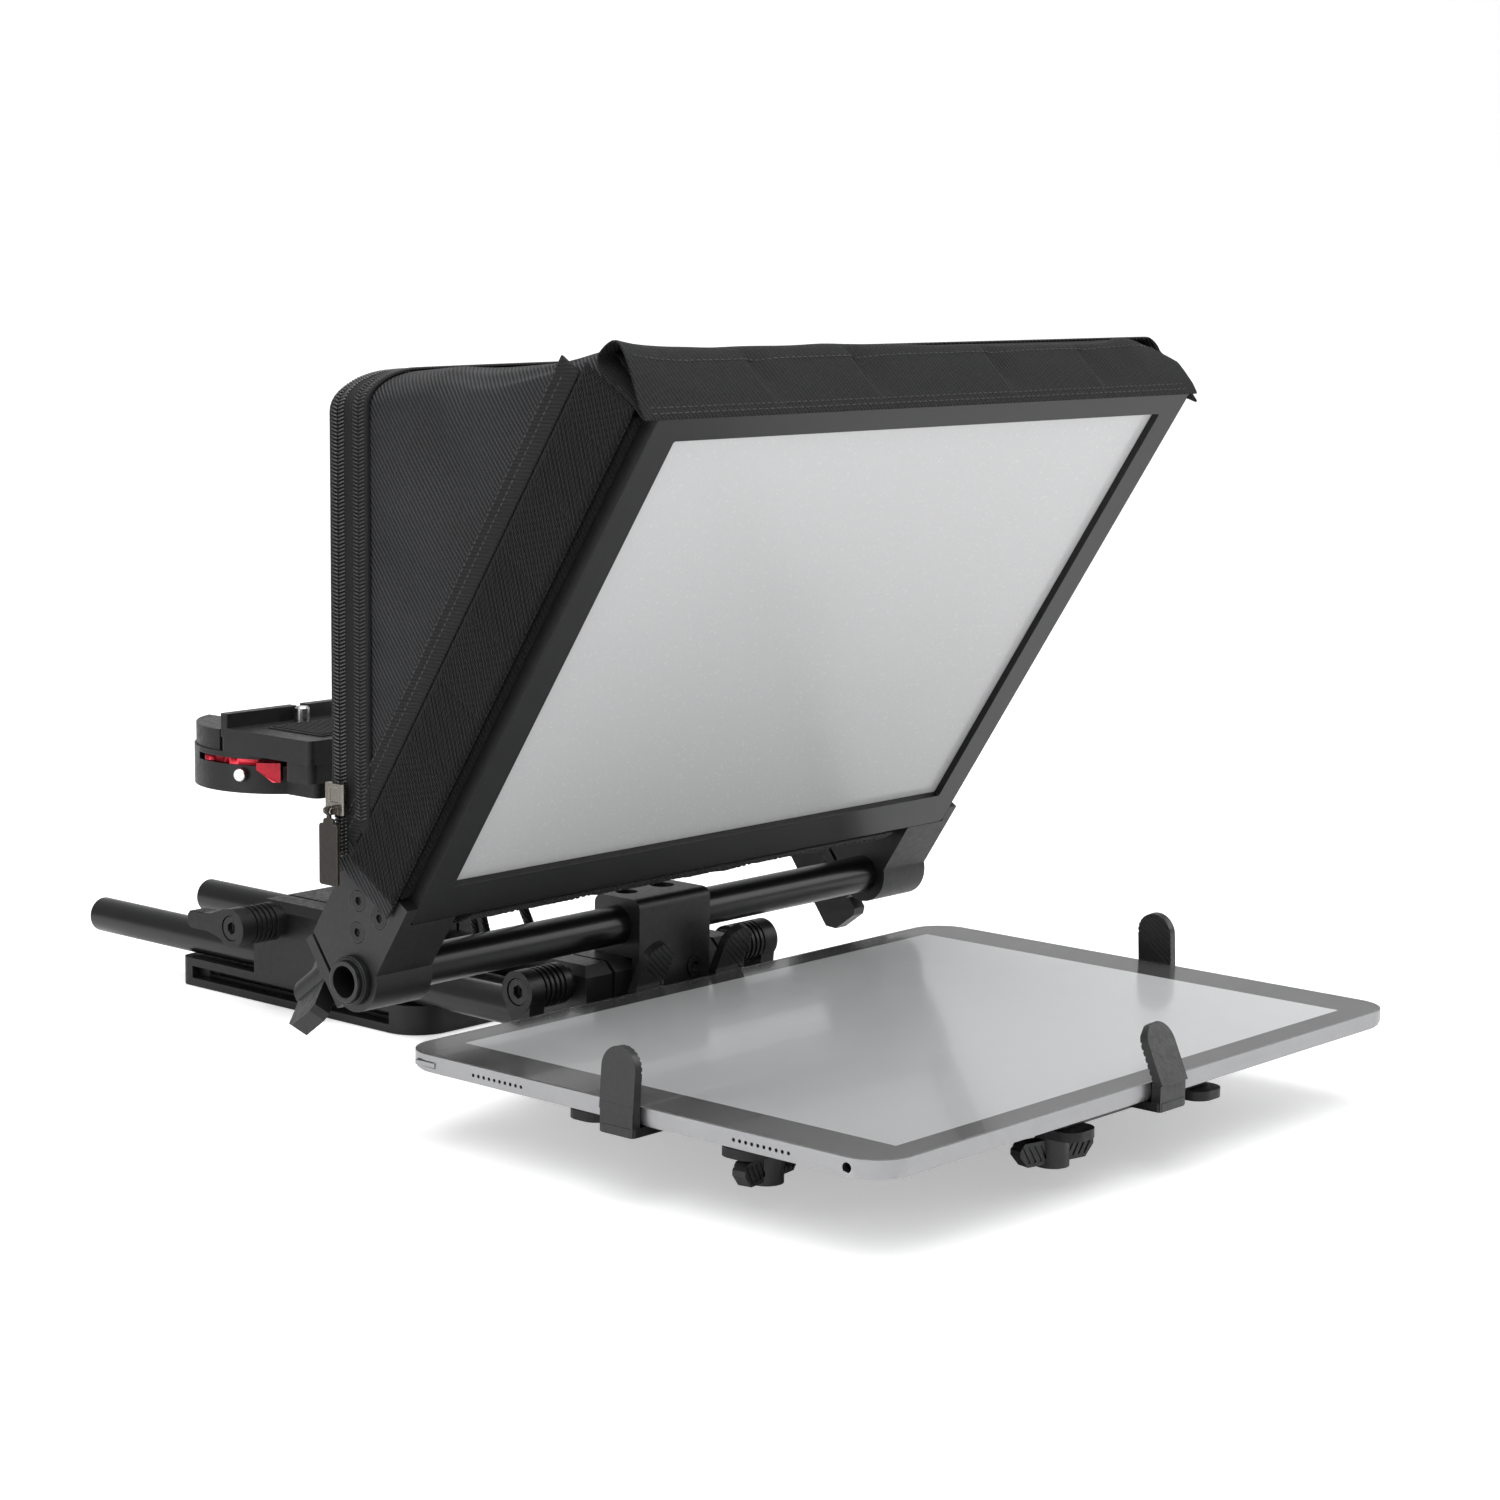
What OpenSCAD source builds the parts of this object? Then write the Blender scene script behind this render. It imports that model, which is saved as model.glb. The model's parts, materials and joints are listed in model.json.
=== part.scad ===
// Through-the-glass teleprompter on two rods: camera base with a quick-release
// mount, a hooded beamsplitter glass that tilts on a cross tube, and a tablet
// held face up in a four-finger cradle in front of it.
// Millimetres. Origin: centre of the base plate's underside. +Z up, -Y faces
// the presenter, +X is the right side seen from the presenter.

/* [Camera base] */
// Width of the base plate
base_w = 76; // [74:1:78]
// Length of the base plate, front to back
base_l = 148; // [146:1:156]
// Thickness of the base plate
base_h = 12; // [11.5:0.5:12]
// Radius of the front corners of the base plate
base_r = 16; // [10:1:18]

/* [Rods and cross tube] */
// Diameter of the two long rods
rod_d = 15; // [14:0.5:15]
// Length of the two long rods
rod_len = 304.8; // [300:0.2:306]
// Half of the distance between the two rods
rod_x = 30; // [29.5:0.5:30]
// Diameter of the cross tube that carries the glass
tube_d = 15; // [14.8:0.1:15]
// Half of the length of the cross tube
tube_hx = 160; // [159:0.5:161]
// Wall of the cross tube
tube_wall = 1.8; // [1.5:0.1:2.5]

/* [Glass and frame] */
// Angle of the glass above the horizontal, in degrees
glass_angle = 57.2; // [56.8:0.1:57.6]
// Width of the beamsplitter glass
glass_w = 280; // [278:1:281]
// Thickness of the glass
glass_t = 3; // [2.5:0.1:3]
// Half width of the frame
frame_hx = 150; // [149.8:0.1:150]

/* [Hood] */
// Thickness of the fabric walls
hood_wall = 1.8; // [1.5:0.1:2]
// Diameter of the camera lens opening in the rear panel
lens_d = 112; // [80:1:120]

/* [Tablet] */
// Width of the tablet
tab_w = 305.7; // [305:0.1:305.8]
// Depth of the tablet
tab_l = 220.6; // [220:0.1:220.8]
// Thickness of the tablet
tab_t = 6.9; // [6.5:0.1:7]

/* [Hidden] */
$fn = 48;

// shared places and sizes; each section below starts with its own
clearance = 0.05;           // running clearance on radius
rod_z = 20;                 // rod axis above the base's underside
rod_rear = 137.4;           // rear end of the rods
rod_front = rod_rear - rod_len;
tube_y = -168;              // cross tube axis
tube_z = 58;
lean = 90 - glass_angle;    // forward lean of the glass from vertical
side_x = 155;               // outer faces of the tilt brackets, inside the hood's sides
cradle_y = -298.6;          // centre of the tablet
tab_z0 = 29.5;              // underside of the tablet
tab_z1 = tab_z0 + tab_t;

// ---------- helpers ----------
function span(half) = [-half, half];
function grid(xs, ys) = [for (x = xs, y = ys) [x, y, 0]];
module at_each(spots) for (spot = spots) translate(spot) children();
module both_sides() for (m = [0, 1]) mirror([m, 0, 0]) children();
module cyl_z(radius, z0, z1) translate([0, 0, z0]) cylinder(r = radius, h = z1 - z0);
module cyl_x(radius, x0, x1)
  translate([x0, 0, 0]) rotate([0, 90, 0]) cylinder(r = radius, h = x1 - x0);
module cyl_y(radius, y0, y1)
  translate([0, y0, 0]) rotate([-90, 0, 0]) cylinder(r = radius, h = y1 - y0);
// x, y and z are [from, to] ranges in the shapes below
module block(x, y, z)
  translate([x[0], y[0], z[0]]) cube([x[1] - x[0], y[1] - y[0], z[1] - z[0]]);
module rounded(x, y, radius) {
  width = x[1] - x[0];
  depth = y[1] - y[0];
  translate([x[0] + radius, y[0]]) square([width - 2 * radius, depth]);
  translate([x[0], y[0] + radius]) square([width, depth - 2 * radius]);
  for (cx = [x[0] + radius, x[1] - radius], cy = [y[0] + radius, y[1] - radius])
    translate([cx, cy]) circle(radius);
}
module rounded_block(x, y, z, radius)
  translate([0, 0, z[0]]) linear_extrude(z[1] - z[0]) rounded(x, y, radius);
// profile given in the y-z plane, extruded across x
module extrude_x(x)
  translate([x[0], 0, 0]) rotate([90, 0, 90]) linear_extrude(x[1] - x[0]) children();
// profile given in the x-z plane, extruded along y
module extrude_y(y)
  translate([0, y[1], 0]) rotate([90, 0, 0]) linear_extrude(y[1] - y[0]) children();

// socket head screw: head top at z = 0, shank downwards
module screw(head_r, head_h, shank_r, shank_l) difference() {
  union() {
    cyl_z(head_r, -head_h, 0);
    cyl_z(shank_r, -head_h - shank_l, -head_h + 0.01);
  }
  translate([0, 0, -head_h * 0.6]) cylinder(r = head_r * 0.55, h = head_h, $fn = 6);
}
// two-wing knob hanging along -z, hub top at z = 0; the wings start at -drop
module wing(width, hub_r, drop, depth, thick, hub_l, grooves = 4) difference() {
  tip = width / 2;
  union() {
    cyl_z(hub_r, -hub_l, 0);
    both_sides() extrude_y(span(thick / 2))
      polygon([[hub_r - 3, -drop], [tip - 2, -drop], [tip, -drop - 2.4],
               [tip, -drop - depth + 4.2], [tip - 3.6, -drop - depth],
               [hub_r - 3, -drop - depth]]);
  }
  // slanted grip grooves on both faces of each wing
  both_sides() for (i = [0 : 1 : grooves - 1], s = [-1, 1])
    translate([tip - 2.6 - i * 2.6, s * thick / 2, -drop - depth / 2]) rotate([0, 30, 0])
      cube([0.9, 0.8, depth * 0.78], center = true);
}
module ring_of_six(radius, start = 0)
  for (a = [start : 60 : start + 300]) rotate([0, 0, a]) translate([radius, 0, 0]) children();
// round grip with six lobes and a notch between each pair
module lobed_grip(radius, z0, z1, lobe_at, lobe_r, notch_at, notch_r) difference() {
  union() {
    cyl_z(radius, z0, z1);
    ring_of_six(lobe_at) cyl_z(lobe_r, z0, z1);
  }
  ring_of_six(notch_at, 30) cyl_z(notch_r, z0 - 1, z1 + 1);
}

// ---------- camera base ----------
rear_corner_r = 5;
clamp_hx = 45;              // half width of both rod clamps
clamp_top = 46;
base_clamp_y = [-27, 17];
foot_hx = 36.5;             // foot of the base clamp, sunk into the plate
foot_sink = 2;
lever_z = 39;
rear_lever_y = 2;
base_screw_spots = grid([-22, 22], [-19, 9]);
riser_screw_spots = grid([-5, 5], [-19, 3.3]);

module base_plate() color("dimgray") difference() {
  linear_extrude(base_h) {
    translate([-base_w / 2, -base_l / 2 + base_r])
      square([base_w, base_l - base_r - rear_corner_r]);
    translate([-base_w / 2 + base_r, -base_l / 2]) square([base_w - 2 * base_r, base_l]);
    translate([-base_w / 2 + rear_corner_r, base_l / 2 - 20])
      square([base_w - 2 * rear_corner_r, 20]);
    for (s = [-1, 1]) {
      translate([s * (base_w / 2 - base_r), -base_l / 2 + base_r]) circle(base_r);
      translate([s * (base_w / 2 - rear_corner_r), base_l / 2 - rear_corner_r])
        circle(rear_corner_r);
    }
  }
  // long side pockets, each with a narrower and deeper groove
  both_sides() {
    rounded_block([31, 60], [-58, 66], [3.4, 8.6], 4);
    rounded_block([28.5, 60], [-54, 62], [4.6, 7.2], 3);
  }
  rounded_block(span(foot_hx + 0.1), [base_clamp_y[0] - 0.1, base_clamp_y[1] + 0.1],
                [base_h - foot_sink, base_h + 1], 2);
  // centre hole, and one ahead of and one behind the clamp
  cyl_z(4.76, -1, base_h);
  at_each(grid([0], [-48, 48])) cyl_z(3.175, -1, base_h + 1);
  at_each(base_screw_spots) {
    cyl_z(2.6, -1, base_h);
    cyl_z(4.6, -1, 4.2);
  }
  // slot near the front edge
  rounded_block(span(4), [-66, -56], [-1, base_h + 1], 3.9);
}

module at_lever(y) translate([clamp_hx, y, lever_z]) children();
module lever_holes(y) both_sides() at_lever(y) cyl_x(3.2, -17, 5);
// split clamp on both rods; children are added before the bores are cut
module clamp_body(y, bore_y, bottom) difference() {
  chamfer = 4;
  union() {
    extrude_x(span(clamp_hx))
      polygon([[y[0], bottom], [y[1], bottom], [y[1], clamp_top - chamfer],
               [y[1] - chamfer, clamp_top], [y[0] + chamfer, clamp_top],
               [y[0], clamp_top - chamfer]]);
    children();
  }
  for (s = [-1, 1]) translate([s * rod_x, 0, rod_z]) {
    cyl_y(rod_d / 2 + clearance, bore_y[0], bore_y[1]);
    // slit that opens the bore upwards past the lever screw
    block(span(0.8), [y[0] - 1, y[1] + 1], [5, clamp_top + 1 - rod_z]);
  }
  // bevel on each upper side edge
  for (s = [-1, 1]) translate([s * clamp_hx, (y[0] + y[1]) / 2, clamp_top])
    rotate([0, 45, 0]) cube([5, 200, 5], center = true);
}
module base_clamp() color("dimgray") difference() {
  clamp_body(base_clamp_y, [-28, 18], base_h + 0.4)
    rounded_block(span(foot_hx), base_clamp_y, [base_h - foot_sink, base_h + 2], 2);
  lever_holes(rear_lever_y);
  at_each(riser_screw_spots) cyl_z(2.1, 38, 47);
  at_each(base_screw_spots) cyl_z(2.6, 5, 12.2);
}
module base_clamp_screws() color("#333333")
  at_each(base_screw_spots) translate([0, 0, 0.4]) mirror([0, 0, 1])
    screw(head_r = 4.3, head_h = 3.6, shank_r = 2.5, shank_l = 7.6);

// ---------- height riser ----------
riser_hx = 10;
lock_z = 65;                // lock screw axis
lock_slot_z = [63, 87];     // end centres of its slot
lock_slot_r = 3.25;

module riser_lower() color("dimgray") difference() {
  union() {
    rounded_block(span(riser_hx), [-24, 6.5], [clamp_top + clearance, 51], 2);
    block(span(riser_hx), [-7, -0.1], [50, 88]);
    extrude_y([-7, -0.1]) rounded(span(riser_hx), [82, 94], 4);
    // gussets in front of the upright
    for (s = [-1, 1]) extrude_x([s * 8.5 - 1.4, s * 8.5 + 1.4])
      polygon([[-6.9, 50.9], [-11.4, 50.9], [-6.9, 57]]);
  }
  block(span(lock_slot_r), [-8, 1], lock_slot_z);
  for (z = lock_slot_z) translate([0, 0, z]) cyl_y(lock_slot_r, -8, 1);
  at_each(riser_screw_spots) cyl_z(2.3, 40, 51.5);
}
module riser_upper() color("dimgray") difference() {
  union() {
    rounded_block(span(riser_hx), [0, 5], [52.2, 86.9], 1.2);
    translate([0, 0, lock_z]) cyl_y(6, 4.5, 6.6);
  }
  translate([0, 0, lock_z]) cyl_y(2.55, -1, 8);
}
module riser_knob() color("#222222") translate([0, 0, lock_z]) rotate([-90, 0, 0]) {
  cyl_z(2.5, -12, 6.2);
  cyl_z(5.5, -13, -7.2);
  lobed_grip(radius = 10, z0 = -24, z1 = -12, lobe_at = 9.2, lobe_r = 2.8,
             notch_at = 12.2, notch_r = 2.6);
}

// ---------- quick release ----------
quick_y = 49;               // centre of the round base
quick_r = 38;
quick_lever_z = [99, 101.5];
quick_band_z = [quick_lever_z[0] - 0.2, quick_lever_z[1] + 0.2];
quick_pivot = [-32.6, 56, 0];
quick_plate_rear = 46;
camera_y = 37;              // camera screw

module quick_disc(radius) translate([0, quick_y]) circle(radius, $fn = 96);
module at_pin() translate([0, quick_y, 95]) rotate([0, 0, 22]) children();
module dovetail(y, bottom_hx, top_hx, z) extrude_y(y)
  polygon([[-bottom_hx, z[0]], [bottom_hx, z[0]], [top_hx, z[1]], [-top_hx, z[1]]]);

module quick_base() color("#2b2b2b") difference() {
  union() {
    translate([0, 0, 87]) linear_extrude(17) {
      quick_disc(quick_r);
      rounded(span(24), [1, quick_y], 4);
    }
    rounded_block(span(36), [-9, 8], [95.5, 103.9], 4);
    translate([0, 0, 103]) linear_extrude(10) intersection() {
      quick_disc(quick_r - 0.8);
      translate([-40, 47]) square([80, 60]);
    }
  }
  // band between upper and lower halves, where the lever lies
  translate([0, 0, quick_band_z[0]]) linear_extrude(quick_band_z[1] - quick_band_z[0])
    difference() {
      intersection() {
        translate([-60, 14]) square([45, 48]);
        translate([0, quick_y]) circle(quick_r + 3);
      }
      translate([0, quick_y]) circle(31.5);
      translate([-40, 10]) square([10, 9]);
    }
  translate(quick_pivot) cyl_z(4.6, quick_band_z[0], quick_band_z[1]);
  // channel for the plate
  dovetail([-13.1, 46.9], 20.1, 16.1, [102, 106.2]);
  at_pin() cyl_x(2.15, -60, -28);
  rounded_block(span(12), [60, 90], [110, 115], 4);
}
module quick_lever() color("crimson") {
  // curved arm, thinned to an outer rim near its pivot
  translate([0, 0, quick_lever_z[0]]) linear_extrude(quick_lever_z[1] - quick_lever_z[0])
    intersection() {
      difference() {
        quick_disc(quick_r - 0.2);
        quick_disc(32.2);
        difference() {
          translate([-60, 41]) square([60, 30]);
          quick_disc(quick_r - 2.8);
        }
      }
      translate([-60, 26]) square([60, 30]);
    }
  translate(quick_pivot) cyl_z(4, quick_lever_z[0], quick_lever_z[1]);
  // tab outside the round base
  translate([0, quick_y, 0]) rotate([0, 0, 41]) {
    extrude_x([-45.5, -38.3])
      polygon([[-5, 93.2], [-1.8, 93.2], [5, 98.4], [5, 101.3], [-5, 101.3]]);
    block([-39.5, -36], span(3.4), quick_lever_z);
  }
}
module quick_pin() color("silver") at_pin() {
  cyl_x(2.1, -39.5, -30.6);
  translate([-41.1, 0, 0]) rotate([0, 90, 0]) cylinder(r1 = 2.6, r2 = 3.1, h = 1.6);
}
module quick_plate() color("#333333") difference() {
  union() {
    rounded_block(span(38), [-11, quick_plate_rear], [104.1, 114], 3);
    dovetail([1, quick_plate_rear], 20, 16, [102.1, 106]);
    // lip along the rear edge
    rounded_block(span(38), [41.3, quick_plate_rear], [110, 120], 1.5);
  }
  // notch in the lip
  block([0.6, 6.4], [38, 48], [115.2, 121]);
  translate([0, camera_y, 0]) {
    cyl_z(3.25, 100, 120);
    cyl_z(7.4, 100, 108.6);
  }
  // recess for the pad
  rounded_block(span(26), [-5, 30], [113.2, 116], 2);
  at_each(grid([-11, 11], [12])) cyl_z(2.6, 100, 112);
}
module quick_pad() color("#444444") {
  rounded_block(span(25.8), [-4.8, 29.8], [113.25, 114.6], 1.8);
  for (i = [0 : 19]) translate([i * 2.5, 0, 0]) block([-24, -22.8], [-3.6, 28.6], [114.5, 115.1]);
}
module camera_screw() color("silver") translate([0, camera_y, 0]) difference() {
  thread_r = 3.175;
  union() {
    cyl_z(3, 105, 114.5);
    cyl_z(thread_r, 114.4, 119.4);
    cyl_z(6.9, 104.4, 108.3);
    translate([0, 0, 119.4]) cylinder(r1 = thread_r, r2 = 2.4, h = 0.8);
  }
  // slot in the head
  block(span(8), span(0.7), [103, 105.6]);
}

// ---------- rods and front clamp ----------
rod_chamfer = 0.8;
front_clamp_y = [-176, -150];
front_lever_y = -164;
arm_screw_z = 17;
front_screw_x = span(11);   // screws of the centre block and of the cradle arm
front_screw_y = [-181, -170];

module at_front_screws(z) for (x = front_screw_x) translate([x, 0, z]) children();
module rod(side) color("#2a2a2a") translate([side * rod_x, 0, rod_z]) difference() {
  union() {
    cyl_y(rod_d / 2, rod_front, rod_rear - rod_chamfer);
    translate([0, rod_rear - rod_chamfer, 0]) rotate([-90, 0, 0])
      cylinder(r1 = rod_d / 2, r2 = rod_d / 2 - rod_chamfer, h = rod_chamfer);
  }
  // bore in the rear end
  cyl_y(5.1, rod_rear - 18, rod_rear + 1);
}
module left_rod() rod(-1);
module right_rod() rod(1);
module front_clamp() color("dimgray") difference() {
  clamp_body(front_clamp_y, [rod_front - 0.1, -149], 9.5);
  // top shaved to clear the centre block
  block(span(50), [-181, -149], [clamp_top - 0.1, 50]);
  lever_holes(front_lever_y);
  at_front_screws(lever_z) cyl_y(2.05, -177, -164);
  at_front_screws(arm_screw_z) cyl_y(2.05, -177, -166);
}
module centre_block() color("#3a3a3a") difference() {
  extrude_x(span(20)) {
    translate([-180, clamp_top]) square([24, 19]);
    translate([-176, 60]) square([16, 9]);
    for (y = [-176, -160]) translate([y, 65]) circle(4);
    // tongue down the front of the clamp
    translate([-180, 24]) square([3.9, 30]);
  }
  at_tube() cyl_x(tube_d / 2 + clearance, -21, 21);
  // two recesses in the top
  translate([-10, -163.5, 0]) cyl_z(4.35, 66.2, 70);
  translate([10, -163.5, 0]) cyl_z(5, 66.2, 70);
  at_front_screws(lever_z) {
    cyl_y(2.3, front_screw_y[0], front_screw_y[1]);
    cyl_y(4.2, front_screw_y[0], -177.6);
  }
}
module centre_block_screws() color("#222222")
  at_front_screws(lever_z) translate([0, -180.9, 0]) rotate([90, 0, 0])
    screw(head_r = 4, head_h = 3.2, shank_r = 2, shank_l = 10);

// ---------- cradle arm ----------
module cradle_arm() color("#333333") difference() {
  union() {
    rounded_block(span(18), [-180, -176.05], [12.6, 23.8], 1);
    rounded_block(span(16), [-354, -177], [12.6, 20.9], 4);
  }
  // long slot for the cradle knob
  rounded_block(span(3.3), [-341, -262], [10, 22], 3.2);
  // screw holes with head pockets open at the top
  at_front_screws(arm_screw_z) {
    cyl_y(2.3, front_screw_y[0], front_screw_y[1]);
    cyl_y(4.2, -186, -178.2);
    block(span(4.2), [-186, -178.2], [0, 8]);
  }
}
module cradle_arm_screws() color("#222222")
  at_front_screws(arm_screw_z) translate([0, -181.2, 0]) rotate([90, 0, 0])
    screw(head_r = 4, head_h = 3, shank_r = 2, shank_l = 9);

// ---------- cross tube ----------
module at_tube() translate([0, tube_y, tube_z]) children();
module cross_tube() color("#2a2a2a") at_tube() difference() {
  cyl_x(tube_d / 2, -tube_hx, tube_hx);
  cyl_x(tube_d / 2 - tube_wall, -tube_hx - 1, tube_hx + 1);
}
module tube_collars() color("#444444") at_tube() both_sides() difference() {
  union() {
    cyl_x(9, 155.1, 157.4);
    cyl_x(8.5, 157.3, 158.2);
  }
  cyl_x(tube_d / 2 + 0.02, 150, 165);
}

// ---------- glass frame ----------
// in the tilted frame z runs up along the glass from the tube axis, y backwards from it
frame_z = [32, 249];
window_hx = 137.1;
window_z = [47.6, 239.1];
glass_front = -5.15;
side_screw_at = [0, 2, 35.6];   // screw through each bracket into the frame

module tilted() at_tube() rotate([lean, 0, 0]) children();
module glass_frame() color("#2e2e2e") tilted() difference() {
  extrude_y([-8, 14]) rounded(span(frame_hx), frame_z, 2);
  extrude_y([-11, 1]) rounded(span(window_hx), window_z, 0.8);
  // rebate that takes the glass from behind
  block(span(140.4), [-5.2, 15], [44.3, 242.4]);
  both_sides() translate(side_screw_at) cyl_x(2.05, 143, 151);
}
module beamsplitter_glass() color("lightgray") tilted()
  block(span(glass_w / 2), [glass_front, glass_front + glass_t], [44.7, 242]);
module glass_retainer() color("#222222") tilted() difference() {
  block(span(140.2), [-2.05, 2], [44.5, 242.2]);
  block(span(134.5), [-3, 3], [50.2, 236.5]);
}

// ---------- tilt brackets ----------
lip_angle = 21;             // angle of the clamp slit
lip_drop = 8.8;             // distance of the slit from the tube axis
lip_top = -lip_drop;
wing_at = [-141.5, 12, 0];  // clamp screw, across and along the slit
wing_rest_l = 42;           // rest turn of the left wing knob
wing_rest_r = 90;           // rest turn of the right wing knob
bracket_inner = -128;
bracket_screw_spots = [[0, 13.7, 25.5], [0, 2, 27.3], [0, 8, 15.5]];
// outlines of the side plate and of the tube clamp block: y, z in the tilted frame
bracket_side = [
  [25.9, 0.4], [26.1, 28.4], [24.6, 31], [2, 38.6], [-1, 39.2], [-8, 39.2],
  [-8, -5], [-4.7, -8.5], [9.6, -5.6]];
bracket_block = [
  [25.9, 0.4], [26, 22], [16, 31.8], [-8, 31.8], [-8, -5], [-4.7, -8.5], [9.6, -5.6]];

module along_lip() rotate([lip_angle, 0, 0]) children();
// the left bracket
module bracket() difference() {
  union() {
    extrude_x([-side_x, -150.1]) polygon(bracket_side);
    extrude_x([-153, bracket_inner]) polygon(bracket_block);
    cyl_x(11.7, -side_x, bracket_inner);
    // lower clamp lip
    along_lip() block([-154.8, -128.2], [-4.2, 24], [lip_top - 5.6, lip_top - 1.4]);
  }
  cyl_x(tube_d / 2 + clearance, -160, -120);
  // slit, its opening into the bore, and the clamp screw hole
  along_lip() {
    block([-160, -120], [-0.8, 40], [lip_top - 1.6, lip_top]);
    block([-160, -120], span(0.8), [lip_top - 1, -5]);
    translate(wing_at) cyl_z(3.05, -30, 3);
  }
  at_each(bracket_screw_spots) {
    cyl_x(2.05, -160, -140);
    translate([-side_x - 0.01, 0, 0]) rotate([0, 90, 0]) cylinder(r1 = 4, r2 = 2, h = 2.1);
  }
  translate(side_screw_at) cyl_x(2.05, -160, -140);
}
module left_bracket() color("#303030") tilted() bracket();
module right_bracket() color("#303030") tilted() mirror([1, 0, 0]) bracket();
module countersunk_screw() difference() {
  union() {
    translate([-side_x, 0, 0]) rotate([0, 90, 0]) cylinder(r1 = 3.9, r2 = 1.95, h = 2);
    cyl_x(1.95, -153.1, -141);
  }
  translate([-155.1, 0, 0]) rotate([0, 90, 0]) cylinder(r = 1.6, h = 1.7, $fn = 6);
}
module bracket_screws() color("#151515") tilted() both_sides() {
  at_each(bracket_screw_spots) countersunk_screw();
  translate(side_screw_at) cyl_x(1.95, -154.8, -144);
}
module wing_knob(turn) along_lip() translate(wing_at) {
  cyl_z(3, lip_top - 12, 2);
  cyl_z(10.8, lip_top - 9.2, lip_top - 5.8);
  cyl_z(4.4, lip_top - 34, lip_top - 20);
  translate([0, 0, lip_top - 5.8]) rotate([0, 0, turn])
    wing(width = 43, hub_r = 6.4, drop = 6, depth = 18.5, thick = 6.6, hub_l = 26, grooves = 0);
}
module left_wing_knob() color("#262626") tilted() wing_knob(wing_rest_l);
module right_wing_knob() color("#262626") tilted() mirror([1, 0, 0]) wing_knob(wing_rest_r);

// ---------- hood ----------
// all places are from the tube axis; outlines are y, z
hood_hx = 157;              // outer half width
hood_rear = 8;
hood_corner_r = 12;         // curve over the upper rear edge
hood_corner_z = 198.6;
hood_peak = [-120.3, 225.8];
// in-plane coordinates of the glass (forward of it, up along it) to y and z
function from_glass(forward, up) =
  [-forward * cos(lean) - up * sin(lean), -forward * sin(lean) + up * cos(lean)];
function hood_corner(radius, step) = [for (a = [0 : step : 90])
  [hood_rear - hood_corner_r + radius * cos(a), hood_corner_z + radius * sin(a)]];
hood_outer = concat([[hood_rear, 34]], hood_corner(hood_corner_r, 10),
  [hood_peak, [-121.3, 223.9], from_glass(3, 250.8), from_glass(3, 31), [5, 39.2]]);
hood_inner = concat([[hood_rear - hood_wall, -10]],
  hood_corner(hood_corner_r - hood_wall, 15),
  [[-119, 225.7 - hood_wall], [-121.5, 232], [-170, 232], [-170, -10]]);
top_flap = [
  [-122.2, 226.2], [-144.2, 207], [-143.9, 205.9], [-142.9, 205.5], [-120.9, 224.9]];
bottom_flap = [
  [-23.4, 21.2], [-15, 17.2], [-6, 17.6], [1.5, 21.5], [6.5, 28], [7.9, 33.7],
  [6.3, 33.7], [5.1, 28.8], [0.5, 22.9], [-6.5, 19.3], [-14.8, 18.9], [-22.6, 22.3]];

module hood_sheet() difference() {
  extrude_x(span(side_x)) polygon(hood_outer);
  extrude_x(span(side_x + 1)) polygon(hood_inner);
}
// two sides, the rear panel round the lens, and the top that curves over the rear edge
module hood_shell() color("#1d1d1f") at_tube() {
  both_sides() extrude_x([-hood_hx, -side_x - 0.1]) polygon(hood_outer);
  difference() {
    intersection() {
      hood_sheet();
      block(span(160), [0, 20], [40.4, 198.4]);
    }
    translate([0, 0, 120]) cyl_y(lens_d / 2, 0, 12);
  }
  intersection() {
    hood_sheet();
    block(span(160), [-160, 20], [198.5, 240]);
  }
}
module hood_top_flap() color("#232325") at_tube() extrude_x(span(hood_hx)) polygon(top_flap);
module hood_bottom_flap() color("#2c2426") at_tube() extrude_x(span(120)) polygon(bottom_flap);
module velcro_strips() color("#1a1a1a") tilted() both_sides()
  block([150.15, 154.9], [-2.8, 13.8], [39.6, 246]);

// ---------- zipper and cords, from the tube axis ----------
zip_x = -163.65;            // pivot of the zip pull
zip_z = 61.6;
// start, end, radius
cords = [
  [[-94, 10.2, 33], [-82, 11.5, -3], 1.4],
  [[-86.5, 10.2, 33], [-76, 11.5, -3], 1.4],
  [[-73, 10.6, 33], [-52, 12.2, -3], 2]];

module zipper_tape() color("#111111") at_tube() block([-158.6, -157.1], [-12.4, 8], [36, 198]);
module zipper_slider() color("#77726a") at_tube() {
  difference() {
    rounded_block([-161.4, -158.8], [-2, 7.6], [60, 71], 0.6);
    block([-161.9, -161], [0.4, 5.2], [64.4, 69.6]);
  }
  // two ears with the pivot pin between them
  for (y = [0.8, 3.8]) extrude_y([y, y + 1]) {
    translate([zip_x, zip_z]) circle(1.3);
    translate([zip_x, zip_z - 1.3]) square([2.6, 2.6]);
  }
  translate([zip_x, 0, zip_z]) cyl_y(0.75, 1.7, 3.9);
}
module zipper_pull() color("#4a4640") at_tube() difference() {
  union() {
    translate([zip_x, 0, zip_z]) cyl_y(1.6, 2, 3.6);
    extrude_x([zip_x - 0.55, zip_x + 0.55]) {
      rounded([-2, 7.6], [35, 57], 1.2);
      rounded([0.2, 5.4], [56, 59], 1.2);
      translate([2, 57.5]) square([1.6, zip_z - 58.2]);
    }
  }
  translate([zip_x, 0, zip_z]) cyl_y(0.8, 1, 5);
}
module cord(start, end, radius) {
  run = end - start;
  length = norm(run);
  translate(start) rotate([0, acos(run[2] / length), atan2(run[1], run[0])])
    cylinder(r = radius, h = length);
}
module draw_cords() color("#151515") at_tube() for (c = cords) cord(c[0], c[1], c[2]);

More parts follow.
